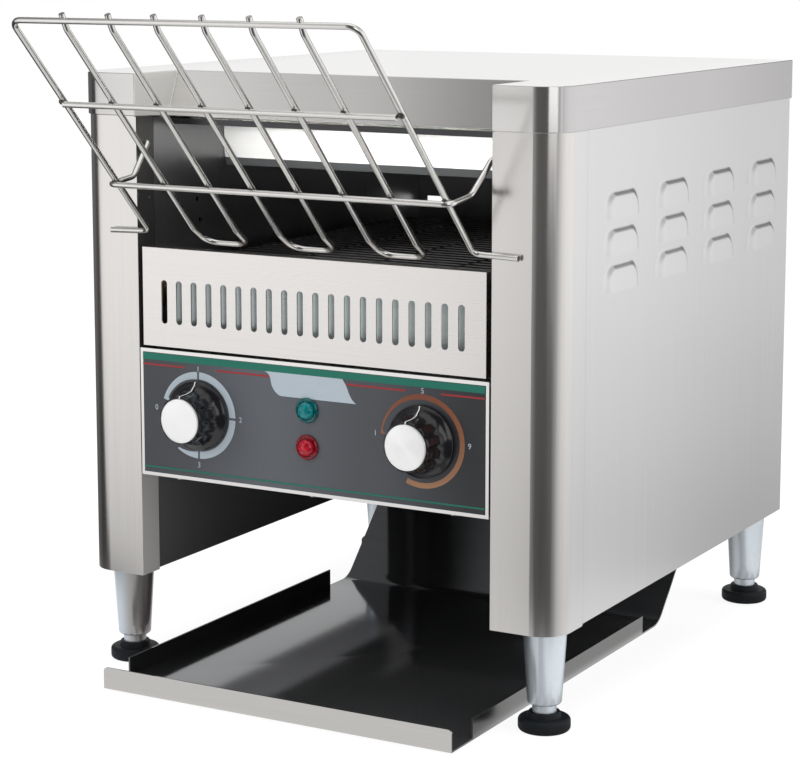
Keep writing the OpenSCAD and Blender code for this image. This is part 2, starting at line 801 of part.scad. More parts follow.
// Side view of the tray: lip, floor, bend, sloping chute and a flat end for the guides
module tray_side() {
    run = (chute_top_z - rise_z) / sin(chute_slope);
    translate([-tray_out, tray_gap]) square([bend_y + tray_out + 0.2, sheet]);
    intersection() {
        translate([bend_y, floor_z + bend_r]) difference() {
            circle(bend_r + sheet, $fn = 96);
            circle(bend_r, $fn = 96);
        }
        translate([bend_y, floor_z + bend_r]) rotate(-90) square(bend_r + 5);
        translate([bend_y, floor_z + bend_r]) rotate(chute_slope - 180) square(60);
    }
    translate([rise_y, rise_z]) rotate(chute_slope) translate([-0.2, -sheet]) square([run + 0.2, sheet]);
}

// Front lip of the tray, with its upper corners rounded
module tray_lip() {
    r = 3;
    translate([0, -tray_out + sheet, tray_gap]) rotate([90, 0, 0]) linear_extrude(sheet) {
        translate([-tray_half, 0]) square([2 * tray_half, tray_wall - r]);
        translate([-tray_half + r, 0]) square([2 * (tray_half - r), tray_wall]);
        for (s = [-1, 1]) translate([s * (tray_half - r), tray_wall - r]) circle(r);
    }
}

// One sheet: front lip, floor, low side walls and the curved chute, with two ears in the guides
module toast_tray() {
    color([0.20, 0.21, 0.22]) {
        intersection() {
            along_x(2 * tray_half) tray_side();
            union() {
                block(-tray_half, tray_half, -60, 360, 0, 60);
                block(-125, 125, 300, 400, 50, 130);
            }
        }
        tray_lip();
        both_sides() block(tray_half - sheet, tray_half, -20.6, 249, tray_gap, tray_gap + tray_wall - 1);
        block(-tray_half + 1, tray_half - 1, chute_top_y - 1, chute_top_y + ear_len,
            chute_top_z - sheet, chute_top_z);
    }
}

// Pair of channels on the inner walls that carry the tray's ears
module tray_guides() {
    color([0.45, 0.45, 0.46]) both_sides() {
        block(bay - 9, bay - snug, 200, body_d - 6, chute_top_z - sheet - 2, chute_top_z - sheet - 0.8);
        block(bay - 9, bay - snug, 200, body_d - 6, chute_top_z + 0.8, chute_top_z + 2);
        block(bay - 0.9, bay - snug, 200, body_d - 6, chute_top_z - 3.2, chute_top_z + 2);
    }
}

// A point on the rack's slope, s along it from the top bar, x across and up off its face
function on_rack(x, s, up = 0) = [
    x,
    rack_top_y + s * cos(rack_slope) + up * sin(rack_slope),
    rack_top_z - s * sin(rack_slope) + up * cos(rack_slope)];

// Wire rack: outer rods and top bar in one, two cross bars below, and three U-shaped rods
// whose rounded ends tip up towards the belt
module loading_rack() {
    under = -wire_r * 1.8;
    pin_bend = [rack_half, -wire_r - 0.4, rack_top_z - rack_len * sin(rack_slope)];
    bar_end = on_rack(rack_half + rack_bar_out, rack_lower_bar, under);
    arm_bend = [bay - 7.5, -14, 350.5];
    hook_bend = [bay - 4, rack_hook_y, rack_hook_z];
    color([0.85, 0.85, 0.86]) {
        wire(on_rack(-rack_half, 0), on_rack(rack_half, 0), wire_r);
        wire(on_rack(-rack_half, rack_upper_bar, under), on_rack(rack_half, rack_upper_bar, under), wire_r);
        wire(on_rack(-rack_half - rack_bar_out, rack_lower_bar, under), bar_end, wire_r);
        both_sides() {
            wire(on_rack(rack_half, 0), pin_bend, wire_r);
            wire(pin_bend, [rack_pin_x, pin_bend[1], pin_bend[2] - 1], wire_r);
            wire(bar_end, arm_bend, wire_r);
            wire(arm_bend, hook_bend, wire_r);
            bar_x(bay - 4, bay + 4, rack_hook_y, rack_hook_z, wire_r, $fn = 24);
            for (p = [on_rack(rack_half, 0), pin_bend, bar_end, arm_bend, hook_bend]) bend(p, wire_r);
        }
        for (s = [-1, 1], x = rack_rods) {
            wire(on_rack(s * x, 6.1), on_rack(s * x, rack_rod_end), wire_r);
            bend(on_rack(s * x, rack_rod_end), wire_r);
            wire(on_rack(s * x, 7.7), on_rack(s * x, -rack_curl, wire_r * 1.6), wire_r);
        }
        for (k = [-1 : 1]) translate(on_rack(k * (rack_rods[1] + rack_rods[2]) / 2, rack_rod_end))
            rotate([rack_toe - rack_slope, 0, 0])
                rotate_extrude(angle = 180) translate([rack_u_r, 0]) circle(wire_r + 0.05, $fn = 24);
    }
}

// Pan-head screws along the back
module cover_screws() {
    color([0.75, 0.75, 0.76]) for (s = [-1, 1], z = [90, 180, 270, 360])
        translate([s * (half_w - 8), body_d, z]) rotate([-90, 0, 0]) cylinder(h = 2.2, r = 3.6);
}

placed() left_post();
placed() right_post();
placed() left_side_panel();
placed() right_side_panel();
placed() left_inner_wall();
placed() right_inner_wall();
placed() floor_rails();
placed() rear_panel();
placed() top_cover();
placed() tunnel_roof();
placed() insulation();
placed() mouth_shield();
placed() upper_reflector();
placed() upper_heaters();
placed() lower_reflector();
placed() lower_heaters();
placed() heater_insulators();
placed() rear_deflector();
placed() slotted_guard();
placed() guard_backing();
placed() control_panel();
placed() control_overlay();
placed() control_box();
placed() control_box_lid();
placed() control_screws();
placed() selector_knob();
placed() selector_knob_cap();
placed() selector_shaft();
placed() selector_switch();
placed() speed_knob();
placed() speed_knob_cap();
placed() speed_shaft();
placed() speed_control();
placed() power_lamp();
placed() warning_lamp();
placed() conveyor_belt();
placed() drive_shaft();
placed() drive_sprockets();
placed() idler_shaft();
placed() idler_sprockets();
placed() shaft_bushes();
placed() shaft_chainwheel();
placed() drive_chain();
placed() motor_chainwheel();
placed() motor_shaft();
placed() gear_motor();
placed() fan_frame();
placed() fan_rotor();
placed() terminal_block();
placed() cord_gland();
placed() legs();
placed() leg_nuts();
placed() foot_front_left();
placed() foot_front_right();
placed() foot_rear_left();
placed() foot_rear_right();
placed() toast_tray();
placed() tray_guides();
placed() loading_rack();
placed() cover_screws();
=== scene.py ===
import json
import math
import bmesh
import bpy
from mathutils import Matrix, Vector

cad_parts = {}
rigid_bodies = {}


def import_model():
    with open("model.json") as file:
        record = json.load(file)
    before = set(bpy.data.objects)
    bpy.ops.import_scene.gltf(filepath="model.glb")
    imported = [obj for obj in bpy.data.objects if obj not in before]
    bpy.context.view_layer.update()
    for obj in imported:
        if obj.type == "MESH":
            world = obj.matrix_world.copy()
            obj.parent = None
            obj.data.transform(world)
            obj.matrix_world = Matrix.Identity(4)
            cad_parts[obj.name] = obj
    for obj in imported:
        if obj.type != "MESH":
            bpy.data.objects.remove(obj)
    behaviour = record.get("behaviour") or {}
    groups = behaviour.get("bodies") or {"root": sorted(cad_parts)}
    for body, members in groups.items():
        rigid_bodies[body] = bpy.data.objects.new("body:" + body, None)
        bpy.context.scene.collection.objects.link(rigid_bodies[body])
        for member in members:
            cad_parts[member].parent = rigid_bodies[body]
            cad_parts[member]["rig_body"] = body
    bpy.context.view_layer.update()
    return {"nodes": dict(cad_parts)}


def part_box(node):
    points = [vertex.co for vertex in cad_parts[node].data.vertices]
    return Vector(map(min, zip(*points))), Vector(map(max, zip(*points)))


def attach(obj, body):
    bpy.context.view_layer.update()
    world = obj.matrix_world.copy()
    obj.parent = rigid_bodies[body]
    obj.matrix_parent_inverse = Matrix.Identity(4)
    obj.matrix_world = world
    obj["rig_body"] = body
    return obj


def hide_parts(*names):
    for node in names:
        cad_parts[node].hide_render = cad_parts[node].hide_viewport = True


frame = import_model()
cad_nodes = frame["nodes"]


# ---------------------------------------------------------------- camera
# A long lens a little above the controls, turned to show the right-hand side.
camera_azimuth = 29.4
camera = bpy.data.objects.new("camera", bpy.data.cameras.new("camera"))
camera.location = (0.80923, -1.44461, 0.50426)
camera.rotation_euler = (math.radians(81.49), 0, math.radians(camera_azimuth))
camera.data.sensor_width = 36
camera.data.lens = 106.48
camera.data.shift_y = -0.10375
camera.data.clip_start = 0.05
bpy.context.scene.collection.objects.link(camera)
bpy.context.scene.camera = camera
bpy.context.scene.view_settings.view_transform = "Standard"


# ---------------------------------------------------------------- studio
# A white sheet on the floor, soft boxes above and at both sides, and a dim
# gap where the camera stands, which draws the dark bands on round metal.
def nodes_of(owner):
    owner.use_nodes = True
    tree = owner.node_tree
    tree.nodes.clear()
    return tree


def add(tree, kind, **settings):
    node = tree.nodes.new(kind)
    for key, value in settings.items():
        if key.startswith("in_"):
            name = key[3:]
            socket = node.inputs[int(name)] if name.isdigit() else node.inputs[name.replace("_", " ")]
            socket.default_value = value
        else:
            setattr(node, key, value)
    return node


def maths(tree, operation, a, b=None, clamp=False):
    node = add(tree, "ShaderNodeMath", operation=operation, use_clamp=clamp)
    for socket, value in zip(node.inputs, (a, b)):
        if isinstance(value, (int, float)):
            socket.default_value = value
        elif value is not None:
            tree.links.new(value, socket)
    return node.outputs[0]


def ramp(tree, factor, stops, interpolation="EASE"):
    node = add(tree, "ShaderNodeValToRGB")
    node.color_ramp.interpolation = interpolation
    elements = node.color_ramp.elements
    while len(elements) < len(stops):
        elements.new(0.5)
    for element, (place, grey) in zip(elements, stops):
        element.position = place
        element.color = (*grey, 1) if isinstance(grey, tuple) else (grey, grey, grey, 1)
    tree.links.new(factor, node.inputs[0])
    return node.outputs[0]


def seen_directly(tree):
    path = add(tree, "ShaderNodeLightPath")
    seen = maths(tree, "ADD", path.outputs["Is Camera Ray"], path.outputs["Is Transmission Ray"], clamp=True)
    return seen, path.outputs["Is Glossy Ray"]


def azimuth_share(tree, vector):
    """0 to 1 once round the object, with 0.5 behind the camera."""
    parts = add(tree, "ShaderNodeSeparateXYZ")
    tree.links.new(vector, parts.inputs[0])
    turned = maths(tree, "ARCTAN2", parts.outputs["X"], maths(tree, "MULTIPLY", parts.outputs["Y"], -1.0))
    share = maths(tree, "ADD", maths(tree, "DIVIDE", turned, 2 * math.pi), 0.5 - camera_azimuth / 360)
    return maths(tree, "FRACT", share), parts.outputs["Z"]


# How bright the walls and the sky above them are in metal, each at its share
# of a turn round the part.
WALLS = [
    (0.0, 0.6), (0.02, 0.3), (0.05, 0.14), (0.15, 0.14), (0.2, 0.05), (0.225, 0.04), (0.25, 0.88),
    (0.295, 0.98), (0.348, 0.98), (0.362, 0.26), (0.4, 0.11), (0.51, 0.09), (0.56, 0.12),
    (0.6, 0.38), (0.635, 0.72), (0.68, 0.92), (0.73, 1.0), (0.85, 1.0), (0.88, 0.8), (0.93, 0.85),
    (0.97, 1.0)]
SKY = [
    (0.0, 1.0), (0.045, 0.95), (0.08, 0.1), (0.15, 0.1), (0.22, 0.25), (0.27, 0.6), (0.3, 0.98),
    (0.32, 0.95), (0.355, 0.42), (0.39, 0.1), (0.47, 0.08), (0.5, 0.1), (0.6, 0.38), (0.635, 0.72),
    (0.68, 0.92), (0.73, 1.0), (0.86, 1.0), (0.885, 0.2), (0.94, 0.2), (0.962, 0.98)]

world = bpy.data.worlds.new("studio")
bpy.context.scene.world = world
tree = nodes_of(world)
coords = add(tree, "ShaderNodeTexCoord")
share, height = azimuth_share(tree, coords.outputs["Generated"])
walls = ramp(tree, share, SKY)
shade = add(tree, "ShaderNodeMixRGB", blend_type="MULTIPLY", in_Fac=1.0)
tree.links.new(walls, shade.inputs[1])
tree.links.new(ramp(tree, height, [(0.15, 1.0), (0.48, 0.72), (0.70, 0.50)]), shade.inputs[2])
tent = add(tree, "ShaderNodeMixRGB", in_2=(0.95, 0.95, 0.95, 1))
tree.links.new(ramp(tree, height, [(0.68, 0.0), (0.90, 1.0)]), tent.inputs[0])
tree.links.new(shade.outputs[0], tent.inputs[1])
seen, glossy = seen_directly(tree)
plain = add(tree, "ShaderNodeMixRGB", in_1=(0.62, 0.62, 0.62, 1), in_2=(1, 1, 1, 1))
tree.links.new(seen, plain.inputs[0])
final = add(tree, "ShaderNodeMixRGB")
tree.links.new(glossy, final.inputs[0])
tree.links.new(plain.outputs[0], final.inputs[1])
tree.links.new(tent.outputs[0], final.inputs[2])
background = add(tree, "ShaderNodeBackground", in_Strength=1.0)
tree.links.new(final.outputs[0], background.inputs["Color"])
tree.links.new(background.outputs[0], add(tree, "ShaderNodeOutputWorld").inputs[0])


def stage_mesh(name, size, matrix, material):
    shape = bmesh.new()
    bmesh.ops.create_grid(shape, x_segments=1, y_segments=1, size=size, matrix=matrix)
    data = bpy.data.meshes.new(name)
    shape.to_mesh(data)
    shape.free()
    data.materials.append(material)
    stage = bpy.data.objects.new(name, data)
    bpy.context.scene.collection.objects.link(stage)
    return stage


# The sheet is white to the eye except where the part shades it. In metal it glows with
# the colour of the walls, with painted shadow: greyer close round the part, and darkest in a band under its
# right side.
paper = bpy.data.materials.new("white_paper")
tree = nodes_of(paper)
coords = add(tree, "ShaderNodeTexCoord")
centred = add(tree, "ShaderNodeVectorMath", operation="SUBTRACT")
centred.inputs[1].default_value = (0.16, -0.12, 0)
tree.links.new(coords.outputs["Object"], centred.inputs[0])
share = azimuth_share(tree, centred.outputs[0])[0]
near = add(tree, "ShaderNodeVectorMath", operation="LENGTH")
tree.links.new(coords.outputs["Object"], near.inputs[0])
reach = maths(tree, "DIVIDE", near.outputs["Value"], 4.0, clamp=True)
around = add(tree, "ShaderNodeMixRGB", blend_type="MULTIPLY", in_Fac=1.0)
tree.links.new(ramp(tree, share, WALLS), around.inputs[1])
tree.links.new(ramp(tree, reach, [(0.12, 0.70), (0.30, 0.84), (0.52, 0.96), (0.75, 1.0)]), around.inputs[2])
shadow_painted_close_by = add(tree, "ShaderNodeMixRGB")
tree.links.new(ramp(tree, reach, [(0.078, 1.0), (0.115, 0.0)]), shadow_painted_close_by.inputs[0])
tree.links.new(around.outputs[0], shadow_painted_close_by.inputs[1])
apart = add(tree, "ShaderNodeSeparateXYZ")
tree.links.new(coords.outputs["Object"], apart.inputs[0])
tree.links.new(ramp(tree, maths(tree, "MULTIPLY", apart.outputs["X"], 2.0, clamp=True), [
    (0.27, 0.70), (0.29, 0.32), (0.38, 0.36), (0.46, 0.85)]), shadow_painted_close_by.inputs[2])
seen, glossy = seen_directly(tree)
mirrored_glow = add(tree, "ShaderNodeEmission", in_Strength=1.0)
tree.links.new(shadow_painted_close_by.outputs[0], mirrored_glow.inputs["Color"])
glow = add(tree, "ShaderNodeEmission", in_Color=(1, 1, 1, 1), in_Strength=1.12)
matt = add(tree, "ShaderNodeBsdfDiffuse", in_Color=(0.82, 0.82, 0.82, 1))
lit = add(tree, "ShaderNodeMixShader", in_Fac=0.2)
tree.links.new(glow.outputs[0], lit.inputs[1])
tree.links.new(matt.outputs[0], lit.inputs[2])
shown = add(tree, "ShaderNodeMixShader")
tree.links.new(seen, shown.inputs[0])
tree.links.new(matt.outputs[0], shown.inputs[1])
tree.links.new(lit.outputs[0], shown.inputs[2])
chosen = add(tree, "ShaderNodeMixShader")
tree.links.new(glossy, chosen.inputs[0])
tree.links.new(shown.outputs[0], chosen.inputs[1])
tree.links.new(mirrored_glow.outputs[0], chosen.inputs[2])
tree.links.new(chosen.outputs[0], add(tree, "ShaderNodeOutputMaterial").inputs[0])
stage_mesh("floor", 12, Matrix.Identity(4), paper)

# A white board behind the camera, with its foot above the bench, that only
# polished metal shows.
board_white = bpy.data.materials.new("board_white")
tree = nodes_of(board_white)
glow = add(tree, "ShaderNodeEmission", in_Color=(1, 1, 1, 1), in_Strength=1.3)
tree.links.new(glow.outputs[0], add(tree, "ShaderNodeOutputMaterial").inputs[0])
board_turn = math.radians(47)
board_away, board_foot, board_half_w, board_half_h = 1.9, 0.225, 0.54, 0.75
board_place = Matrix.Translation((
    0.17 + board_away * math.sin(board_turn), -0.12 - board_away * math.cos(board_turn),
    board_foot + board_half_h))
board_upright = Matrix.Rotation(board_turn, 4, "Z") @ Matrix.Rotation(math.radians(90), 4, "X")
board_size = Matrix.Diagonal((board_half_w, board_half_h, 1, 1))
board = stage_mesh("board", 1.0, board_place @ board_upright @ board_size, board_white)
for ray in ("camera", "diffuse", "shadow", "transmission", "volume_scatter"):
    setattr(board, "visible_" + ray, False)

for lamp_name, place, target, size, power, spread in (
    ("soft_box_above", (0.1, -0.2, 2.4), (0, 0, 0.2), 2.2, 34, 180),
    ("soft_box_left", (-2.2, -1.6, 1.3), (0, 0, 0.2), 1.6, 22, 180),
    ("soft_box_right", (2.6, 0.6, 1.5), (0, 0, 0.2), 1.8, 24, 180),
    ("mouth_light", (0.0, -0.48, 0.42), (0.0, -0.025, 0.367), 0.26, 0.15, 26),
):
    light = bpy.data.lights.new(lamp_name, "AREA")
    light.shape = "RECTANGLE"
    light.size = size
    light.size_y = 0.04 if spread < 180 else size
    light.energy = power
    light.spread = math.radians(spread)
    lamp = bpy.data.objects.new(lamp_name, light)
    lamp.location = place
    lamp.rotation_euler = (Vector(target) - Vector(place)).to_track_quat("-Z", "Y").to_euler()
    lamp.visible_glossy = lamp.visible_camera = False
    bpy.context.scene.collection.objects.link(lamp)


# ---------------------------------------------------------------- posts
# Two front posts of 1.2 mm stainless sheet, folded round a 20 mm corner, with
# an upright brushed grain.
def sheet_steel(name, colour, grain, rough, streak=0.05, bump=0.03, metallic=1.0):
    """Brushed stainless steel whose scratches run along one axis, X, Y or Z."""
    material = bpy.data.materials.new(name)
    tree = nodes_of(material)
    shader = add(tree, "ShaderNodeBsdfPrincipled", in_Metallic=metallic)
    coords = add(tree, "ShaderNodeTexCoord")
    tones = []
    for across, along in ((1400.0, 12.0), (220.0, 4.0)):
        mapping = add(tree, "ShaderNodeMapping")
        mapping.inputs["Scale"].default_value = [along if axis == grain else across for axis in "XYZ"]
        tree.links.new(coords.outputs["Object"], mapping.inputs["Vector"])
        noise = add(tree, "ShaderNodeTexNoise", in_Scale=1.0, in_Detail=3.0, in_Roughness=0.6)
        tree.links.new(mapping.outputs[0], noise.inputs["Vector"])
        tones.append(noise.outputs["Fac"])
    fine, coarse = maths(tree, "MULTIPLY", tones[0], 0.6), maths(tree, "MULTIPLY", tones[1], 0.4)
    grain_tone = maths(tree, "ADD", fine, coarse)
    low = tuple(c * (1 - streak) for c in colour)
    high = tuple(min(1.0, c * (1 + streak)) for c in colour)
    tree.links.new(ramp(tree, grain_tone, [(0.35, low), (0.65, high)], "LINEAR"), shader.inputs["Base Color"])
    uneven = maths(tree, "ADD", maths(tree, "MULTIPLY", grain_tone, 0.16), rough - 0.08)
    tree.links.new(uneven, shader.inputs["Roughness"])
    scratches = add(tree, "ShaderNodeBump", in_Strength=bump, in_Distance=0.0004)
    tree.links.new(grain_tone, scratches.inputs["Height"])
    tree.links.new(scratches.outputs[0], shader.inputs["Normal"])
    tree.links.new(shader.outputs[0], add(tree, "ShaderNodeOutputMaterial").inputs[0])
    return material


def painted_shading(material, axis, stops):
    """Multiplies a finish's colour by tones set at places along one axis, in metres: painted light and shade.
    """
    tree = material.node_tree
    shader = next(node for node in tree.nodes if node.type == "BSDF_PRINCIPLED")
    colour = shader.inputs["Base Color"].links[0].from_socket
    apart = add(tree, "ShaderNodeSeparateXYZ")
    tree.links.new(add(tree, "ShaderNodeTexCoord").outputs["Object"], apart.inputs[0])
    low, high = stops[0][0], stops[-1][0]
    share = maths(tree, "DIVIDE", maths(tree, "SUBTRACT", apart.outputs[axis], low), high - low, clamp=True)
    mixed = add(tree, "ShaderNodeMixRGB", blend_type="MULTIPLY", in_Fac=1.0)
    tree.links.new(colour, mixed.inputs[1])
    tones = [((at - low) / (high - low), tone) for at, tone in stops]
    tree.links.new(ramp(tree, share, tones), mixed.inputs[2])
    tree.links.new(mixed.outputs[0], shader.inputs["Base Color"])
    return material


def second_finish(piece, material, chosen):
    """Gives the faces that the test chooses another finish."""
    piece.data.materials.append(material)
    for polygon in piece.data.polygons:
        if chosen(polygon):
            polygon.material_index = len(piece.data.materials) - 1
    return piece


def make_piece(name, mesh, material, body, replaced=(), eased=0.0, segments=2, angle=35):
    """A finished piece: smooth-shaded, its edges eased, riding on its body."""
    if isinstance(mesh, bmesh.types.BMesh):
        shape, mesh = mesh, bpy.data.meshes.new(name)
        shape.to_mesh(mesh)
        shape.free()
    mesh.polygons.foreach_set("use_smooth", [True] * len(mesh.polygons))
    mesh.set_sharp_from_angle(angle=math.radians(angle))
    mesh.materials.clear()
    mesh.materials.append(material)
    piece = bpy.data.objects.new(name, mesh)
    bpy.context.scene.collection.objects.link(piece)
    if eased:
        bevel = piece.modifiers.new("eased", "BEVEL")
        bevel.width = eased
        bevel.segments = segments
        bevel.limit_method = "ANGLE"
        bevel.angle_limit = math.radians(angle)
        bevel.harden_normals = True
    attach(piece, body)
    if replaced:
        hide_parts(*replaced)
    return piece


def softened(node, material, eased, angle=35, segments=2):
    """A frame node's own form with its folded and cut edges eased."""
    shape = bmesh.new()
    shape.from_mesh(cad_nodes[node].data)
    bmesh.ops.remove_doubles(shape, verts=shape.verts, dist=1e-5)
    bmesh.ops.dissolve_limit(
        shape, angle_limit=math.radians(0.5), verts=shape.verts, edges=shape.edges, delimit={"NORMAL"})
    return make_piece(
        node + "_formed", shape, material, cad_nodes[node]["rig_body"], (node,), eased, segments, angle)


def finish_cad(material, *names):
    """Gives frame nodes that keep their own form their finish."""
    for name in names:
        cad_nodes[name].data.materials.clear()
        cad_nodes[name].data.materials.append(material)


# The post fronts are painted a little darker towards the right. The sides of the posts, side panels and rear
# panel are painted darker towards the back. Both are painted shade.
post_steel = painted_shading(
    sheet_steel("post_steel", (0.83, 0.805, 0.785), "Z", 0.20, 0.03), "X", [(-0.16, 1.0), (0.16, 0.95)])
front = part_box("left_post")[0].y
body_depth, side_face = 0.4, 0.184
side_steel = painted_shading(
    sheet_steel("side_steel", (0.76, 0.755, 0.76), "Z", 0.24, 0.02, 0.01), "Y",
    [(front, 1.0), (front + body_depth, 0.84)])
# The inner flanges are painted bright at their foot and near black from 0.17 m up: a painted highlight below
# and painted shade above.
flange_painted_highlight_and_shade = painted_shading(
    sheet_steel("flange_painted_highlight_and_shade", (0.94, 0.91, 0.885), "Z", 0.34, 0.03, 0.01, 0.45), "Z",
    [(0.07, 1.0), (0.135, 0.85), (0.17, 0.09), (0.40, 0.065)])
for name in ("left_post", "right_post"):
    post = second_finish(
        softened(name, post_steel, 0.0004), side_steel, lambda face: abs(face.center.x) > side_face - 0.0001)
    second_finish(post, flange_painted_highlight_and_shade, lambda face: abs(face.normal.x) > 0.9 and abs(face.center.x) < 0.15)


# ---------------------------------------------------------------- side panels
# Flat stainless sides with pressed louvers that let the cavities breathe.
side_sheet, rear_flange, tucked = 0.0012, 0.014, 0.00035
louver_w, louver_h, louver_out = 0.056, 0.0175, 0.0036
louver_columns = [front + 0.0904 + 0.0848 * column for column in range(4)]
louver_rows = [0.3153 - louver_h / 2 + 0.0238 * row for row in (-1, 0, 1)]


def louver_rise(across, up):
    """How far a louver stands out, from its middle line and above its open lower edge."""
    corner, end_slant, top_slant = 0.0145, 0.0085, 0.0034
    side = louver_w / 2 - abs(across)
    top = louver_h - up
    if side < corner and top < corner:
        reach = max(1e-6, math.hypot(corner - side, corner - top))
        slant = top_slant + (end_slant - top_slant) * ((corner - side) / reach) ** 2
        rise = (corner - reach) / slant
    else:
        rise = min(side / end_slant, top / top_slant)
    rise = min(1.0, max(0.0, rise))
    return louver_out * rise * rise * (3 - 2 * rise) * (0.72 + 0.28 * top / louver_h)


def lines_between(low, high, cells, each):
    """Grid lines from low to high, with evenly divided stretches where the cells lie."""
    margin = 0.0006
    lines = [low]
    for start, end in cells:
        inside = [start + (end - start) * step / each for step in range(each + 1)]
        lines += [start - margin, *inside, end + margin]
    return [*lines, high]


for side, name in ((-1, "left_side_panel"), (1, "right_side_panel")):
    low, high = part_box(name)
    face = side * side_face
    across = lines_between(
        low.y - tucked, high.y, [(y - louver_w / 2, y + louver_w / 2) for y in louver_columns], 32)
    up = lines_between(low.z, high.z, [(z, z + louver_h) for z in louver_rows], 14)
    shape = bmesh.new()
    bmesh.ops.create_grid(shape, x_segments=len(across) - 1, y_segments=len(up) - 1, size=1)
    for vert in shape.verts:
        column = round((vert.co.x + 1) / 2 * (len(across) - 1))
        row = round((vert.co.y + 1) / 2 * (len(up) - 1))
        vert.co = (face, across[column], up[row])
    for foot in louver_rows:
        lips = [edge for edge in shape.edges if all(abs(v.co.z - foot) < 1e-6 for v in edge.verts) and any(
            abs(sum(v.co.y for v in edge.verts) / 2 - y) < louver_w / 2 for y in louver_columns)]
        bmesh.ops.split_edges(shape, edges=lips)
    for middle in louver_columns:
        for foot in louver_rows:
            pressed = {vert for quad in shape.faces for vert in quad.verts
                       if abs(quad.calc_center_median().y - middle) < louver_w / 2
                       and 0 < quad.calc_center_median().z - foot < louver_h}
            for vert in pressed:
                vert.co.x += side * louver_rise(vert.co.y - middle, vert.co.z - foot)
    rim = [edge for edge in shape.edges if all(abs(v.co.y - high.y) < 1e-6 for v in edge.verts)]
    folded = bmesh.ops.extrude_edge_only(shape, edges=rim)["geom"]
    bmesh.ops.translate(
        shape, vec=(-side * rear_flange, 0, 0),
        verts=[item for item in folded if isinstance(item, bmesh.types.BMVert)])
    bmesh.ops.recalc_face_normals(shape, faces=shape.faces)
    sample = min(shape.faces, key=lambda quad: quad.calc_center_median().z)
    if sample.normal.x * side < 0:
        bmesh.ops.reverse_faces(shape, faces=shape.faces)
    bmesh.ops.solidify(shape, geom=shape.faces[:], thickness=side_sheet)
    bmesh.ops.recalc_face_normals(shape, faces=shape.faces)
    make_piece(name + "_sheet", shape, side_steel, "chassis", (name,), angle=40)
finish_cad(side_steel, "rear_panel")


# ---------------------------------------------------------------- top cover
# One sheet with folded skirts, caps over the posts and a leaning centre fascia,
# brushed from side to side.
# The cover is painted darker towards the left. Its side skirts take a darker copy of the steel that darkens
# further towards the back. Both are painted shade.
cover_steel = painted_shading(
    sheet_steel("cover_steel", (0.80, 0.785, 0.77), "X", 0.15, 0.03, 0.006), "X",
    [(-0.188, 0.80), (-0.13, 0.92), (0.13, 0.94), (0.188, 1.0)])
cover_side_painted_shade = painted_shading(
    sheet_steel("cover_side_painted_shade", (0.63, 0.615, 0.615), "Y", 0.18, 0.02, 0.006), "Y",
    [(front, 1.0), (front + body_depth / 2, 0.88), (front + body_depth, 0.74)])
cover_return = sheet_steel("cover_return", (0.72, 0.71, 0.68), "Y", 0.34, 0.03, 0.01, 0.45)
cover_low, cover_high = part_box("top_cover")
cover_top, skirt = cover_high.z, 0.029
side_x, face_y = cover_high.x, cover_low.y
bay_x, recess_y, fascia_foot = 0.136, front + 0.0507, front + 0.038
corner_radius = 0.0213


def corner_arc(side):
    """Points round one front corner, from the face to the side."""
    centre = Vector((side * (side_x - corner_radius), face_y + corner_radius))
    for step in range(25):
        turn = math.radians(90 * step / 24)
        yield (centre.x + side * corner_radius * math.sin(turn), centre.y - corner_radius * math.cos(turn))


plan = [
    (-side_x, cover_high.y), *reversed(list(corner_arc(-1))), (-bay_x, face_y), (-bay_x, recess_y),
    (bay_x, recess_y), (bay_x, face_y), *corner_arc(1), (side_x, cover_high.y)]
cover = bmesh.new()
sheet = cover.faces.new([cover.verts.new((x, y, cover_top)) for x, y in plan])
cover.normal_update()
if sheet.normal.z < 0:
    sheet.normal_flip()
skirts = bmesh.ops.extrude_edge_only(cover, edges=cover.edges[:])["geom"]
for vert in (item for item in skirts if isinstance(item, bmesh.types.BMVert)):
    vert.co.z -= skirt
    if abs(vert.co.y - recess_y) < 1e-6:
        vert.co.y = fascia_foot
        vert.co.z -= 0.002
bmesh.ops.recalc_face_normals(cover, faces=cover.faces)
if max(cover.faces, key=lambda face: face.calc_area()).normal.z < 0:
    bmesh.ops.reverse_faces(cover, faces=cover.faces)
bmesh.ops.solidify(cover, geom=cover.faces[:], thickness=side_sheet)
bmesh.ops.recalc_face_normals(cover, faces=cover.faces)
formed = make_piece(
    "top_cover_formed", cover, cover_steel, "chassis", ("top_cover",), eased=0.0006, segments=3)
second_finish(formed, cover_side_painted_shade, lambda face: (
    abs(face.normal.x) > 0.8 and abs(face.center.x) > side_x - 0.007))
second_finish(formed, cover_return, lambda face: (
    abs(face.normal.x) > 0.99 and abs(abs(face.center.x) - bay_x) < 0.002))
# The fascia is painted darker from left to right: painted reflection.
fascia_painted_reflection = painted_shading(
    sheet_steel("fascia_painted_reflection", (0.96, 0.945, 0.93), "X", 0.16, 0.03, 0.01), "X",
    [(-bay_x, 1.0), (0.0, 0.82), (bay_x, 0.48)])
second_finish(formed, fascia_painted_reflection, lambda face: (
    face.normal.y < -0.8 and abs(face.center.x) < bay_x - 0.002 and face.center.y > face_y + 0.02))


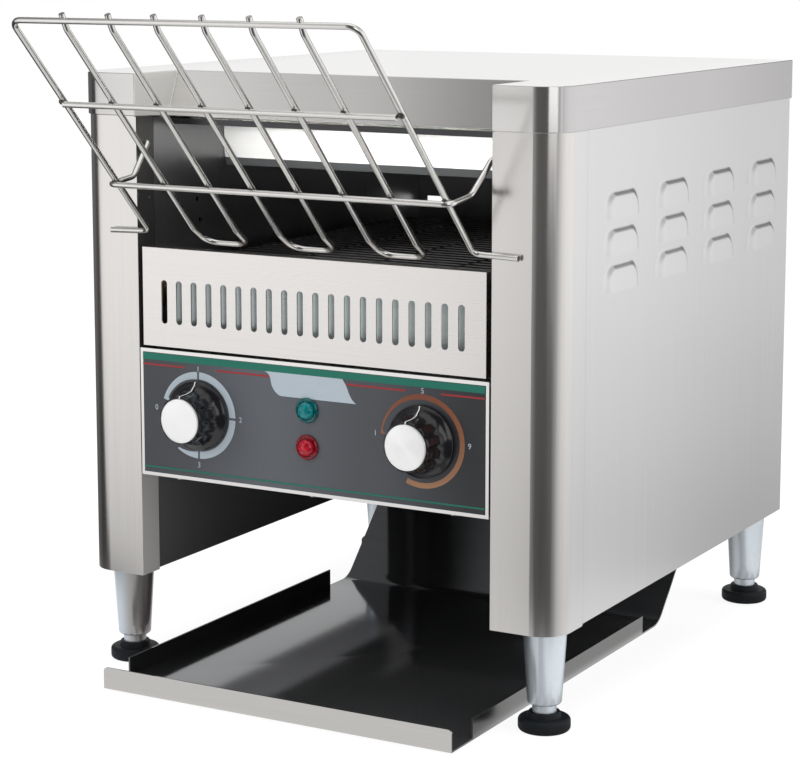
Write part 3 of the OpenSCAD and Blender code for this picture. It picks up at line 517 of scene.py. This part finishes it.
# ---------------------------------------------------------------- tunnel
# Heat-darkened walls. The roof, deflector and mill-finish reflectors are painted near black:
# heat-darkening together with painted shade of the tunnel. Dark sheathed heating
# tubes sit in ceramic bushes, and a bright shield stands at the mouth.
inner_steel = sheet_steel("inner_steel", (0.34, 0.34, 0.345), "Z", 0.30, 0.02, 0.01, 0.9)
heat_dark_and_shaded_steel = sheet_steel("heat_dark_and_shaded_steel", (0.10, 0.10, 0.105), "X", 0.34, 0.12)
rail_steel = sheet_steel("rail_steel", (0.40, 0.40, 0.41), "X", 0.36, 0.10)
finish_cad(inner_steel, "left_inner_wall", "right_inner_wall")
finish_cad(heat_dark_and_shaded_steel, "tunnel_roof", "rear_deflector", "upper_reflector", "lower_reflector")
finish_cad(rail_steel, "floor_rails", "control_box", "control_box_lid", "tray_guides")


def speckled(name, colour, rough, variation=0.08, scale=400.0, bump=0.02, metallic=0.0, coat=0.0, shine=0.5):
    """A moulded, cast or painted surface with a fine irregular texture."""
    material = bpy.data.materials.new(name)
    tree = nodes_of(material)
    shader = add(tree, "ShaderNodeBsdfPrincipled", in_Metallic=metallic)
    shader.inputs["Coat Weight"].default_value = coat
    shader.inputs["Coat Roughness"].default_value = 0.08
    shader.inputs["Specular IOR Level"].default_value = shine
    coords = add(tree, "ShaderNodeTexCoord")
    noise = add(tree, "ShaderNodeTexNoise", in_Scale=scale, in_Detail=4.0)
    tree.links.new(coords.outputs["Object"], noise.inputs["Vector"])
    low = tuple(c * (1 - variation) for c in colour)
    high = tuple(min(1.0, c * (1 + variation)) for c in colour)
    flecks = ramp(tree, noise.outputs["Fac"], [(0.3, low), (0.7, high)], "LINEAR")
    tree.links.new(flecks, shader.inputs["Base Color"])
    uneven = maths(tree, "ADD", maths(tree, "MULTIPLY", noise.outputs["Fac"], 0.12), rough - 0.06)
    tree.links.new(uneven, shader.inputs["Roughness"])
    grain = add(tree, "ShaderNodeBump", in_Strength=bump, in_Distance=0.0005)
    tree.links.new(noise.outputs["Fac"], grain.inputs["Height"])
    tree.links.new(grain.outputs[0], shader.inputs["Normal"])
    tree.links.new(shader.outputs[0], add(tree, "ShaderNodeOutputMaterial").inputs[0])
    return material


heater_sheath = speckled("heater_sheath", (0.05, 0.045, 0.045), 0.45)
ceramic = speckled("glazed_ceramic", (0.75, 0.73, 0.66), 0.25, 0.04)
finish_cad(heater_sheath, "upper_heaters", "lower_heaters")
finish_cad(ceramic, "heater_insulators", "terminal_block")
finish_cad(speckled("mineral_wool", (0.62, 0.60, 0.52), 0.95, 0.15, 150.0, 0.5), "insulation")
# The shield is a near-white, mostly matt steel that the mouth lamp lights: a painted highlight standing for a
# bright reflection. Its downward faces are painted near black: painted shade.
shield_painted_highlight = sheet_steel("shield_painted_highlight", (1.0, 0.99, 0.97), "X", 0.30, 0.01, 0.006, 0.2)
shield_underside_painted_shade = sheet_steel("shield_underside_painted_shade", (0.13, 0.135, 0.135), "X", 0.35, 0.02, 0.006, 0.3)
second_finish(softened("mouth_shield", shield_painted_highlight, 0.0003), shield_underside_painted_shade, lambda face: face.normal.z < -0.3)


# ---------------------------------------------------------------- belt
# Cross wires one tooth pitch apart, joined by rows of small links, running
# over toothed wheels on two ground shafts.
belt_wire = speckled("belt_wire", (0.26, 0.25, 0.25), 0.24, 0.2, 300.0, 0.05, metallic=1.0)
finish_cad(belt_wire, "conveyor_belt")
wheel_iron = speckled("oiled_iron", (0.06, 0.06, 0.065), 0.4, metallic=1.0)
shaft_steel = speckled("ground_steel", (0.50, 0.50, 0.52), 0.22, metallic=1.0)
finish_cad(
    wheel_iron, "drive_sprockets", "idler_sprockets", "shaft_chainwheel", "motor_chainwheel", "drive_chain")
finish_cad(shaft_steel, "drive_shaft", "idler_shaft", "motor_shaft", "selector_shaft", "speed_shaft")
finish_cad(speckled("bronze", (0.50, 0.33, 0.15), 0.35, metallic=1.0), "shaft_bushes")


# ---------------------------------------------------------------- slotted guard
# A bright brushed sheet with a row of rounded slots, folded back at its top
# and sides, in front of a second sheet that shows through the slots.
guard_steel = sheet_steel("guard_steel", (0.94, 0.91, 0.89), "X", 0.26, 0.04, 0.02)
softened("slotted_guard", guard_steel, 0.0003)
# The backing sheet is painted darker towards the left: painted shade behind the slots.
finish_cad(painted_shading(
    sheet_steel("backing_steel_painted_shade", (0.86, 0.93, 0.94), "X", 0.30, 0.05, 0.03, 0.7), "X",
    [(-0.11, 0.62), (-0.05, 0.80), (0.05, 1.0), (0.12, 1.0)]), "guard_backing")


# ---------------------------------------------------------------- control panel
# A satin steel frame with a printed film inside its border: green stripes at
# top and foot, a broken red line, a bare pale plate and two dial rings.
panel_steel = sheet_steel("panel_steel", (0.97, 0.955, 0.94), "X", 0.18, 0.02, 0.01)
softened("control_panel", panel_steel, 0.0004)
# The film is painted brightest a little left of the middle, duller to the left and darkest at the right:
# painted reflection.
film = painted_shading(
    speckled("dark_film_painted_sheen", (0.100, 0.108, 0.124), 0.33, 0.06, 900.0, 0.01), "X",
    [(-0.13, 0.50), (-0.03, 1.0), (0.05, 0.65), (0.13, 0.22)])
softened("control_overlay", film, 0.0001)
film_lo, film_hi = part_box("control_overlay")
film_face = film_lo.y
ink_depth = 0.00012


def ink(name, colour):
    return speckled(name, colour, 0.36, 0.03, 900.0, 0.005)


green_ink = ink("green_ink", (0.0, 0.155, 0.105))
red_ink = ink("red_ink", (0.33, 0.018, 0.024))
pale_ink = ink("pale_ink", (0.45, 0.52, 0.58))


def print_bars(name, bars, material):
    """Flat printed bars, each given as left, right, foot and top."""
    shape = bmesh.new()
    for left, right, foot, top in bars:
        centre = Matrix.Translation(((left + right) / 2, film_face, (foot + top) / 2))
        size = Matrix.Diagonal((right - left, 2 * ink_depth, top - foot, 1))
        bmesh.ops.create_cube(shape, size=1, matrix=centre @ size)
    return make_piece(name, shape, material, "chassis")


def print_rings(name, arcs, material, steps=6):
    """Flat printed arcs: centre, outer radius, start and end width, start and end angle.

    Angles are in degrees from 12 o'clock, clockwise as seen from the front.
    """
    shape = bmesh.new()
    for (x, z), outer, width_0, width_1, start, end in arcs:
        earlier = set(shape.verts)
        parts = max(2, round(abs(end - start) / steps))
        ends = [shape.verts.new((x, film_face - ink_depth, z + outer - w)) for w in (0, width_0)]
        edge = shape.edges.new(ends)
        turn = Matrix.Rotation(math.radians(start), 3, "Y")
        bmesh.ops.rotate(shape, verts=ends, cent=(x, 0, z), matrix=turn)
        bmesh.ops.spin(
            shape, geom=[*ends, edge], cent=(x, 0, z), axis=(0, 1, 0), angle=math.radians(end - start),
            steps=parts, use_merge=False)
        if width_1 != width_0:
            for vert in shape.verts:
                off_edge = abs(math.hypot(vert.co.x - x, vert.co.z - z) - outer + width_0)
                if vert in earlier or off_edge > 1e-5:
                    continue
                turned = math.degrees(math.atan2(vert.co.x - x, vert.co.z - z)) - start
                share = (turned % 360) / (end - start)
                radius = outer - width_0 - (width_1 - width_0) * min(1, max(0, share))
                middle = Vector((x, vert.co.y, z))
                vert.co = middle + (vert.co - middle).normalized() * radius
    faces = list(shape.faces)
    bmesh.ops.recalc_face_normals(shape, faces=faces)
    if faces[0].normal.y > 0:
        bmesh.ops.reverse_faces(shape, faces=faces)
    walls = bmesh.ops.extrude_face_region(shape, geom=faces)["geom"]
    behind = [item for item in walls if isinstance(item, bmesh.types.BMVert)]
    bmesh.ops.translate(shape, vec=(0, ink_depth * 2, 0), verts=behind)
    bmesh.ops.recalc_face_normals(shape, faces=shape.faces)
    return make_piece(name, shape, material, "chassis")


print_bars("green_stripes", [
    (film_lo.x, film_hi.x, film_hi.z - 0.0050, film_hi.z - 0.0003),
    (film_lo.x, film_hi.x, film_lo.z + 0.0034, film_lo.z + 0.0045)], green_ink)
line_z = film_hi.z - 0.0083
line_half = 0.0006
red_spans = ((film_lo.x, -0.0980), (-0.0722, -0.0298), (0.0300, 0.0745), (0.1005, film_hi.x))
print_bars("red_line", [
    (left, right, line_z - line_half, line_z + line_half) for left, right in red_spans], red_ink)

plate_curve = bpy.data.curves.new("pale_plate", "CURVE")
plate_curve.dimensions = "2D"
plate_curve.fill_mode = "BOTH"
plate_curve.extrude = ink_depth
plate_curve.resolution_u = 8
top, foot = film_hi.z - 0.0050, film_hi.z - 0.0208
outline = [
    ((-0.0333, top), (-0.0300, top - 0.0010)),
    ((-0.0284, top - 0.0070), (-0.0278, top - 0.0110)),
    ((-0.0200, foot), (-0.0160, foot)),
    ((0.0377, foot), (0.0345, foot + 0.0012)),
    ((0.0310, foot + 0.0090), (0.0300, foot + 0.0120)),
    ((0.0270, top), (0.0250, top))]
spline = plate_curve.splines.new("BEZIER")
spline.bezier_points.add(len(outline) - 1)
for point, ((x, z), (hx, hz)) in zip(spline.bezier_points, outline):
    point.co = (x, z, 0)
    point.handle_right = (hx, hz, 0)
    point.handle_left = (2 * x - hx, 2 * z - hz, 0)
spline.use_cyclic_u = True
for index, kind in ((0, "VECTOR"), (3, "VECTOR"), (5, "VECTOR")):
    spline.bezier_points[index].handle_left_type = kind
plate_source = bpy.data.objects.new("pale_plate_source", plate_curve)
plate_mesh = bpy.data.meshes.new_from_object(plate_source)
bpy.data.objects.remove(plate_source)
plate_mesh.transform(Matrix.Translation((0, film_face, 0)) @ Matrix.Rotation(math.radians(90), 4, "X"))
make_piece("pale_plate", plate_mesh, pale_ink, "chassis")

knob_z, dial_out = 0.188, 0.087
left_dial, right_dial = (-dial_out, knob_z), (dial_out, knob_z)
print_rings("selector_ring", [
    (left_dial, 0.030, 0.0030, 0.0052, -72, -1.6),
    (left_dial, 0.030, 0.0050, 0.0050, 1.6, 88.4),
    (left_dial, 0.030, 0.0050, 0.0050, 91.6, 178.4),
    (left_dial, 0.030, 0.0050, 0.0012, 181.6, 215)], pale_ink)
rust_ink = bpy.data.materials.new("rust_ink")
tree = nodes_of(rust_ink)
shader = add(tree, "ShaderNodeBsdfPrincipled", in_Roughness=0.36)
coords = add(tree, "ShaderNodeTexCoord")
height = add(tree, "ShaderNodeSeparateXYZ")
tree.links.new(coords.outputs["Object"], height.inputs[0])
speed_ring_r = 0.031
# The ring's ink runs from orange-brown at its foot to deep red at its top.
above_foot = maths(tree, "SUBTRACT", height.outputs["Z"], knob_z - speed_ring_r)
fade = maths(tree, "DIVIDE", above_foot, 2 * speed_ring_r)
rust_by_height = ramp(tree, fade, [(0.0, (0.36, 0.18, 0.09)), (1.0, (0.20, 0.052, 0.022))], "LINEAR")
tree.links.new(rust_by_height, shader.inputs["Base Color"])
tree.links.new(shader.outputs[0], add(tree, "ShaderNodeOutputMaterial").inputs[0])
print_rings("speed_ring", [
    (right_dial, speed_ring_r, 0.0008, 0.0036, -86, -10),
    (right_dial, speed_ring_r, 0.0036, 0.0036, -10, 203)], rust_ink)


def print_figure(name, figure, x, z, size):
    """A plain figure in pale ink, on the film."""
    text = bpy.data.curves.new(name, "FONT")
    text.body = figure
    text.size = size
    text.align_x = "CENTER"
    text.align_y = "CENTER"
    text.extrude = ink_depth
    source = bpy.data.objects.new(name + "_source", text)
    mesh = bpy.data.meshes.new_from_object(source)
    bpy.data.objects.remove(source)
    mesh.transform(Matrix.Translation((x, film_face, z)) @ Matrix.Rotation(math.radians(90), 4, "X"))
    return make_piece(name, mesh, pale_ink, "chassis")


for name, figure, x, z in (
    ("selector_mark_0", "0", -0.1215, 0.1905), ("selector_mark_1", "1", -dial_out, line_z - 0.0004),
    ("selector_mark_2", "2", -0.0530, knob_z), ("selector_mark_3", "3", -dial_out, 0.1535),
    ("speed_mark_1", "1", 0.0520, 0.190), ("speed_mark_5", "5", dial_out, line_z + 0.0008),
    ("speed_mark_9", "9", 0.1215, knob_z)):
    print_figure(name, figure, x, z, 0.0052)


# ---------------------------------------------------------------- knobs
# Glossy moulded knobs with a flared skirt, a fluted grip and a white pointer
# line, and a spun aluminium disc let into the face.
black_plastic = speckled("black_plastic", (0.008, 0.008, 0.010), 0.16, 0.05, 500.0, 0.004, coat=0.4)
white_ink = ink("white_ink", (0.80, 0.80, 0.80))


def spin_profile(shape, profile, steps=64):
    """Turns a profile of radius and height points once round Z."""
    points = [shape.verts.new((radius, 0, height)) for radius, height in profile]
    edges = [shape.edges.new(pair) for pair in zip(points, points[1:])]
    bmesh.ops.spin(
        shape, geom=points + edges, cent=(0, 0, 0), axis=(0, 0, 1), angle=2 * math.pi, steps=steps,
        use_merge=True)
    bmesh.ops.remove_doubles(shape, verts=shape.verts, dist=1e-6)
    bmesh.ops.recalc_face_normals(shape, faces=shape.faces)


spun_aluminium = bpy.data.materials.new("spun_aluminium")
tree = nodes_of(spun_aluminium)
shader = add(tree, "ShaderNodeBsdfPrincipled", in_Metallic=0.5, in_Roughness=0.14)
shader.inputs["Base Color"].default_value = (0.99, 0.99, 0.99, 1)
coords = add(tree, "ShaderNodeTexCoord")
apart = add(tree, "ShaderNodeSeparateXYZ")
tree.links.new(coords.outputs["Object"], apart.inputs[0])
side = maths(tree, "SUBTRACT", maths(tree, "ABSOLUTE", apart.outputs["X"]), dial_out)
rise = maths(tree, "SUBTRACT", apart.outputs["Z"], knob_z)
squares = maths(tree, "MULTIPLY", side, side), maths(tree, "MULTIPLY", rise, rise)
radius = maths(tree, "SQRT", maths(tree, "ADD", *squares))
ring_noise = add(tree, "ShaderNodeTexNoise", in_Scale=5200.0, in_Detail=2.0, noise_dimensions="1D")
tree.links.new(radius, ring_noise.inputs["W"])
turned = add(tree, "ShaderNodeBump", in_Strength=0.22, in_Distance=0.0002)
tree.links.new(ring_noise.outputs["Fac"], turned.inputs["Height"])
tree.links.new(turned.outputs[0], shader.inputs["Normal"])
tree.links.new(shader.outputs[0], add(tree, "ShaderNodeOutputMaterial").inputs[0])

for knob, dial_x, body in (("selector_knob", -dial_out, "selector"), ("speed_knob", dial_out, "speed")):
    low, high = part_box(knob)
    upright = Matrix.Translation((dial_x, high.y, knob_z)) @ Matrix.Rotation(math.radians(90), 4, "X")
    length = high.y - low.y
    shape = bmesh.new()
    spin_profile(shape, [
        (0.0032, 0.0), (0.0233, 0.0), (0.0240, 0.0006), (0.0240, 0.0020), (0.0236, 0.0026), (0.0212, 0.0036),
        (0.0192, 0.0052), (0.0179, 0.0075), (0.0172, 0.0100), (0.0170, 0.0130), (0.0168, 0.0180),
        (0.0167, length - 0.0012), (0.0163, length - 0.0005), (0.0156, length - 0.0001),
        (0.0152, length - 0.0001),
        (0.0151, length - 0.0010), (0.0, length - 0.0010)], steps=144)
    flutes, skirt_top, grip_r, flute_depth = 12, 0.0052, 0.017, 0.0017
    for vert in shape.verts:
        height = vert.co.z
        if skirt_top < height and math.hypot(vert.co.x, vert.co.y) > 0.0158:
            angle = math.atan2(vert.co.y, vert.co.x)
            wave = max(0.0, math.cos(flutes * angle)) ** 1.5
            depth = flute_depth * min(1.0, (height - skirt_top) / 0.005)
            vert.co.xy *= 1 - depth * wave / grip_r
    bmesh.ops.transform(shape, matrix=upright, verts=shape.verts)
    make_piece(knob + "_moulding", shape, black_plastic, body, (knob,))
    cap = bmesh.new()
    spin_profile(cap, [
        (0.0, length - 0.0012), (0.0150, length - 0.0012), (0.0150, length + 0.0002),
        (0.0146, length + 0.0005), (0.0140, length + 0.00055), (0.0, length + 0.0006)], steps=96)
    bmesh.ops.transform(cap, matrix=upright, verts=cap.verts)
    make_piece(knob + "_disc", cap, spun_aluminium, body, (knob + "_cap",))
    pointer = bmesh.new()
    path = [
        (0.0153, length + 0.0001), (0.0168, length - 0.0004), (0.0171, 0.0130), (0.0182, 0.0076),
        (0.0214, 0.0038), (0.0237, 0.0028)]
    for first, second in zip(path, path[1:]):
        (r0, h0), (r1, h1) = first, second
        middle = Vector((0, (r0 + r1) / 2, (h0 + h1) / 2))
        run = Vector((0, r1 - r0, h1 - h0))
        turn = run.to_track_quat("Y", "Z").to_matrix().to_4x4()
        bmesh.ops.create_cube(pointer, size=1, matrix=Matrix.Translation(middle) @ turn @ Matrix.Diagonal(
            (0.0007, run.length + 0.0002, 0.0003, 1)))
    bmesh.ops.transform(pointer, matrix=upright, verts=pointer.verts)
    make_piece(knob + "_pointer", pointer, white_ink, body)
finish_cad(speckled("switch_plastic", (0.02, 0.02, 0.022), 0.4), "selector_switch", "cord_gland")
finish_cad(speckled("board_resin", (0.015, 0.09, 0.03), 0.4), "speed_control")


# ---------------------------------------------------------------- lamps
# Tinted plastic pilot lamps with a collar and a domed lens.
def tinted(name, colour, deep):
    material = bpy.data.materials.new(name)
    tree = nodes_of(material)
    shader = add(tree, "ShaderNodeBsdfPrincipled", in_Roughness=0.08, in_IOR=1.49)
    shader.inputs["Coat Weight"].default_value = 0.3
    shader.inputs["Coat Roughness"].default_value = 0.03
    coords = add(tree, "ShaderNodeTexCoord")
    # The Voronoi cells shift the colour from light at their middles to deep at their edges: painted glints
    # standing for the lens's facets.
    cells = add(tree, "ShaderNodeTexVoronoi", in_Scale=520.0)
    tree.links.new(coords.outputs["Object"], cells.inputs["Vector"])
    facet_glints = ramp(tree, cells.outputs["Distance"], [(0.1, colour), (0.8, deep)])
    tree.links.new(facet_glints, shader.inputs["Base Color"])
    tree.links.new(shader.outputs[0], add(tree, "ShaderNodeOutputMaterial").inputs[0])
    return material


for lamp_node, lamp_z, colour, deep in (
    ("power_lamp", 0.200, (0.0, 0.27, 0.28), (0.0, 0.15, 0.16)),
    ("warning_lamp", 0.175, (0.55, 0.008, 0.030), (0.30, 0.005, 0.016))):
    low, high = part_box(lamp_node)
    upright = Matrix.Translation((0, film_face, lamp_z)) @ Matrix.Rotation(math.radians(90), 4, "X")
    collar = bmesh.new()
    spin_profile(collar, [
        (0.0, -0.010), (0.0060, -0.010), (0.0060, 0.0), (0.0085, 0.0), (0.0085, 0.0010), (0.0082, 0.0016),
        (0.0075, 0.0020), (0.0066, 0.0018), (0.0062, 0.0010), (0.0, 0.0010)])
    bmesh.ops.transform(collar, matrix=upright, verts=collar.verts)
    dark = tinted(lamp_node + "_dark", deep, tuple(c * 0.4 for c in deep))
    make_piece(lamp_node + "_collar", collar, dark, "chassis", (lamp_node,))
    dome = bmesh.new()
    lens_r, lens_foot, lens_rise = 0.0058, 0.0018, 0.0040
    spin_profile(dome, [(0.0, 0.0004), (lens_r, 0.0004)] + [
        (lens_r * math.cos(math.radians(a)), lens_foot + lens_rise * math.sin(math.radians(a)))
        for a in range(0, 91, 10)])
    bmesh.ops.transform(dome, matrix=upright, verts=dome.verts)
    lens = make_piece(lamp_node + "_lens", dome, tinted(lamp_node + "_bright", colour, deep), "chassis")


# ---------------------------------------------------------------- loading rack
# Plated 4 mm wire: one bent frame, three U-shaped rods and two cross bars,
# spot-welded where they cross and hooked into the posts' inner flanges.
rack_chrome = speckled("rack_chrome", (0.88, 0.865, 0.84), 0.17, 0.03, 260.0, 0.01, metallic=1.0)
wire = 0.002
slope = math.radians(45.6)
rack_top = 0.459


def on_slope(x, along, up=0.0):
    """A place on the rack: across, down its slope from the top bar, and up off its face."""
    return Vector((
        x, front - 0.146 + along * math.cos(slope) + up * math.sin(slope),
        rack_top - along * math.sin(slope) + up * math.cos(slope)))


def bent(points, radii, parts=8):
    """Corner points with each inner corner turned into an arc of its own radius."""
    path = [Vector(points[0])]
    for before, corner, after, radius in zip(points, points[1:], points[2:], radii):
        arm_in, arm_out = (before - corner), (after - corner)
        half = arm_in.angle(arm_out) / 2
        cut = min(radius / math.tan(half), arm_in.length * 0.49, arm_out.length * 0.49)
        start, end = corner + arm_in.normalized() * cut, corner + arm_out.normalized() * cut
        inward = ((arm_in.normalized() + arm_out.normalized()) / 2).normalized()
        centre = corner + inward * (cut / math.cos(half))
        first, last = start - centre, end - centre
        for step in range(parts + 1):
            path.append(centre + first.slerp(last, step / parts).normalized() * first.length)
    path.append(Vector(points[-1]))
    return path


def wire_mesh(name, paths, radius, resolution=4):
    """Round wire along each path, with closed ends."""
    curve = bpy.data.curves.new(name, "CURVE")
    curve.dimensions = "3D"
    curve.bevel_depth = radius
    curve.bevel_resolution = resolution
    curve.use_fill_caps = True
    for path in paths:
        spline = curve.splines.new("POLY")
        spline.points.add(len(path) - 1)
        for point, place in zip(spline.points, path):
            point.co = (*place, 1)
    source = bpy.data.objects.new(name + "_source", curve)
    mesh = bpy.data.meshes.new_from_object(source)
    bpy.data.objects.remove(source)
    return mesh


half, pin_x, bay = 0.1245, 0.156, 0.136
upper_bar_at, lower_bar_at, under = 0.0735, 0.1525, -1.8 * wire
pin = Vector((half, front - wire - 0.0004, rack_top - 0.205 * math.sin(slope)))
pin_end = pin + Vector((pin_x - half, 0, -0.001))
arm = Vector((bay - 0.0075, front - 0.014, 0.3505))
hook = Vector((bay - 0.0040, front + 0.008, 0.372))
hook_end = hook + Vector((0.008, 0, 0))
corner = on_slope(half, 0)
bar_end = on_slope(half + 0.0045, lower_bar_at, under)


def mirrored(point):
    return Vector((-point.x, point.y, point.z))


def both_ends(points):
    """The points of one half, mirrored to make the whole wire from left to right."""
    return [mirrored(point) for point in points] + points[::-1]


frame_path = bent(both_ends([pin_end, pin, corner]), (0.005, 0.0075, 0.0075, 0.005))
lower_bar = bent(both_ends([hook_end, hook, arm, bar_end]), (0.003, 0.010, 0.006, 0.006, 0.010, 0.003))
upper_bar = both_ends([on_slope(half - wire, upper_bar_at, under)])
rods = [0.0173, 0.0508, 0.0854]
toe = slope - math.radians(12)
u_radius, u_start = (rods[2] - rods[1]) / 2, 0.1985
u_paths = []
for left, right in ((-rods[2], -rods[1]), (-rods[0], rods[0]), (rods[1], rods[2])):
    start, finish = on_slope(left, u_start), on_slope(right, u_start)
    down = Vector((0, math.cos(toe), -math.sin(toe)))
    tip = u_radius + 0.003
    u_paths.append(bent(
        [on_slope(left, -0.003, 1.6 * wire), on_slope(left, 0.0075), start, start + down * tip,
         finish + down * tip, finish, on_slope(right, 0.0075), on_slope(right, -0.003, 1.6 * wire)],
        (0.008, 0.012, (right - left) / 2, (right - left) / 2, 0.012, 0.008), 12))
make_piece(
    "rack_wires", wire_mesh("rack_wires", [frame_path, lower_bar, upper_bar, *u_paths], wire),
    rack_chrome, "rack", ("loading_rack",))
# The welds are dark blobs where the wires cross: real weld spots, and painted contact shadow between the
# wires.
weld_and_contact_shadow = speckled("weld_and_contact_shadow", (0.16, 0.15, 0.14), 0.35, 0.3, 900.0, 0.3, metallic=1.0)
welds = bmesh.new()
for along in (upper_bar_at, lower_bar_at):
    for x in [-half, *(-rod for rod in rods), *rods, half]:
        place = Matrix.Translation(on_slope(x, along, under / 2)) @ Matrix.Rotation(-slope, 4, "X")
        bmesh.ops.create_icosphere(
            welds, subdivisions=2, radius=wire, matrix=place @ Matrix.Diagonal((1.25, 1.25, 0.75, 1)))
for x in [*(-rod for rod in rods), *rods]:
    bmesh.ops.create_icosphere(
        welds, subdivisions=2, radius=wire,
        matrix=Matrix.Translation(on_slope(x, 0.0012, wire * 0.9)) @ Matrix.Diagonal((1.15, 1.0, 0.9, 1)))
make_piece("rack_welds", welds, weld_and_contact_shadow, "rack")


# ---------------------------------------------------------------- toast tray
# One sheet, polished on its upper side: a low front lip, two low walls, and a
# curve up into the chute that catches the toast at the back.
tray_steel = sheet_steel("tray_steel", (0.74, 0.72, 0.70), "X", 0.20, 0.03, 0.01)
# The polished upper side is painted dark, lighter towards the right: a painted reflection of the dark body
# above it.
tray_polish_painted_reflection = painted_shading(
    sheet_steel("tray_polish_painted_reflection", (0.385, 0.395, 0.41), "X", 0.09, 0.03, 0.004, 0.90), "X",
    [(-0.135, 0.45), (-0.06, 0.40), (0.01, 0.85), (0.05, 1.0)])
lip_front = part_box("toast_tray")[0].y
# The tray's outer walls are painted darker towards the front: painted shade.
tray_side = painted_shading(
    sheet_steel("tray_side", (0.72, 0.715, 0.71), "Y", 0.22, 0.03, 0.01), "Y",
    [(lip_front, 0.30), (lip_front + 0.10, 0.85)])
formed = second_finish(softened("toast_tray", tray_steel, 0.0004), tray_polish_painted_reflection, lambda face: (
    face.center.y > lip_front + 0.0005 and abs(face.center.x) < 0.1348
    and (face.normal.z > 0.3 or face.normal.y < -0.3 or abs(face.normal.x) > 0.9)))
second_finish(formed, tray_side, lambda face: abs(face.normal.x) > 0.9 and abs(face.center.x) > 0.1349)


# ---------------------------------------------------------------- legs and feet
# Polished tapered aluminium legs, each with a levelling foot: a plain stem
# with a rubber pad under it.
foot_low, foot_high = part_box("foot_front_right")
leg_x = foot_low.lerp(foot_high, 0.5).x
# Tones across X paint reflections on the legs and stems. The left ones are bright at their outer side and
# browner inwards. The right ones are near black at their inner side and bright outwards.
leg_aluminium = painted_shading(
    speckled("leg_aluminium", (0.84, 0.91, 0.97), 0.24, 0.02, 250.0, 0.005, metallic=0.65), "X",
    [(-leg_x - 0.015, 1.0), (-leg_x - 0.004, (0.84, 0.86, 0.88)), (-leg_x + 0.006, (0.55, 0.50, 0.46)),
     (-leg_x + 0.015, (0.36, 0.31, 0.28)), (leg_x - 0.0150, (0.08, 0.08, 0.08)), (leg_x - 0.0090, 0.28),
     (leg_x - 0.0020, 0.76), (leg_x + 0.003, 0.94)])
foot_rubber = speckled("foot_rubber", (0.008, 0.010, 0.013), 0.55, 0.1, 300.0, 0.02, shine=0.25)
softened("legs", leg_aluminium, 0.0004, angle=30)
for corner_name in ("front_left", "front_right", "rear_left", "rear_right"):
    low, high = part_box("foot_" + corner_name)
    place = Matrix.Translation(((low.x + high.x) / 2, (low.y + high.y) / 2, 0))
    pad_r = (high.x - low.x) / 2
    pad = bmesh.new()
    rim_r = 0.0024
    rim = [(pad_r - rim_r + rim_r * math.cos(math.radians(a)), h + rim_r * math.sin(math.radians(a)))
           for h, turns in ((rim_r, range(-80, 1, 16)), (0.0064, range(0, 81, 16))) for a in turns]
    spin_profile(pad, [
        (0.0, 0.0), (pad_r - rim_r - 0.0005, 0.0), *rim, (pad_r - rim_r - 0.0010, 0.0088), (0.0116, 0.0088),
        (0.0110, 0.0091), (0.0107, 0.0097), (0.0106, 0.0116), (0.0102, 0.0123), (0.0096, 0.0124),
        (0.0, 0.0124)], steps=72)
    bmesh.ops.transform(pad, matrix=place, verts=pad.verts)
    rides_on = corner_name + "_foot"
    make_piece("foot_" + corner_name + "_pad", pad, foot_rubber, rides_on, ("foot_" + corner_name,))
    stem = bmesh.new()
    spin_profile(stem, [
        (0.0, 0.0100), (0.0080, 0.0100), (0.0080, 0.0180), (0.0080, high.z - 0.001),
        (0.0070, high.z), (0.0, high.z)], steps=48)
    bmesh.ops.transform(stem, matrix=place, verts=stem.verts)
    make_piece("foot_" + corner_name + "_stem", stem, leg_aluminium, rides_on)


# ---------------------------------------------------------------- drive and wiring
# The gear motor, cooling fan and fixings inside the side cavities.
finish_cad(speckled("motor_paint", (0.10, 0.105, 0.115), 0.4), "gear_motor")
finish_cad(speckled("fan_plastic", (0.012, 0.012, 0.012), 0.4), "fan_frame", "fan_rotor")
finish_cad(
    speckled("plated_screws", (0.60, 0.60, 0.60), 0.25, metallic=1.0),
    "control_screws", "cover_screws", "leg_nuts")
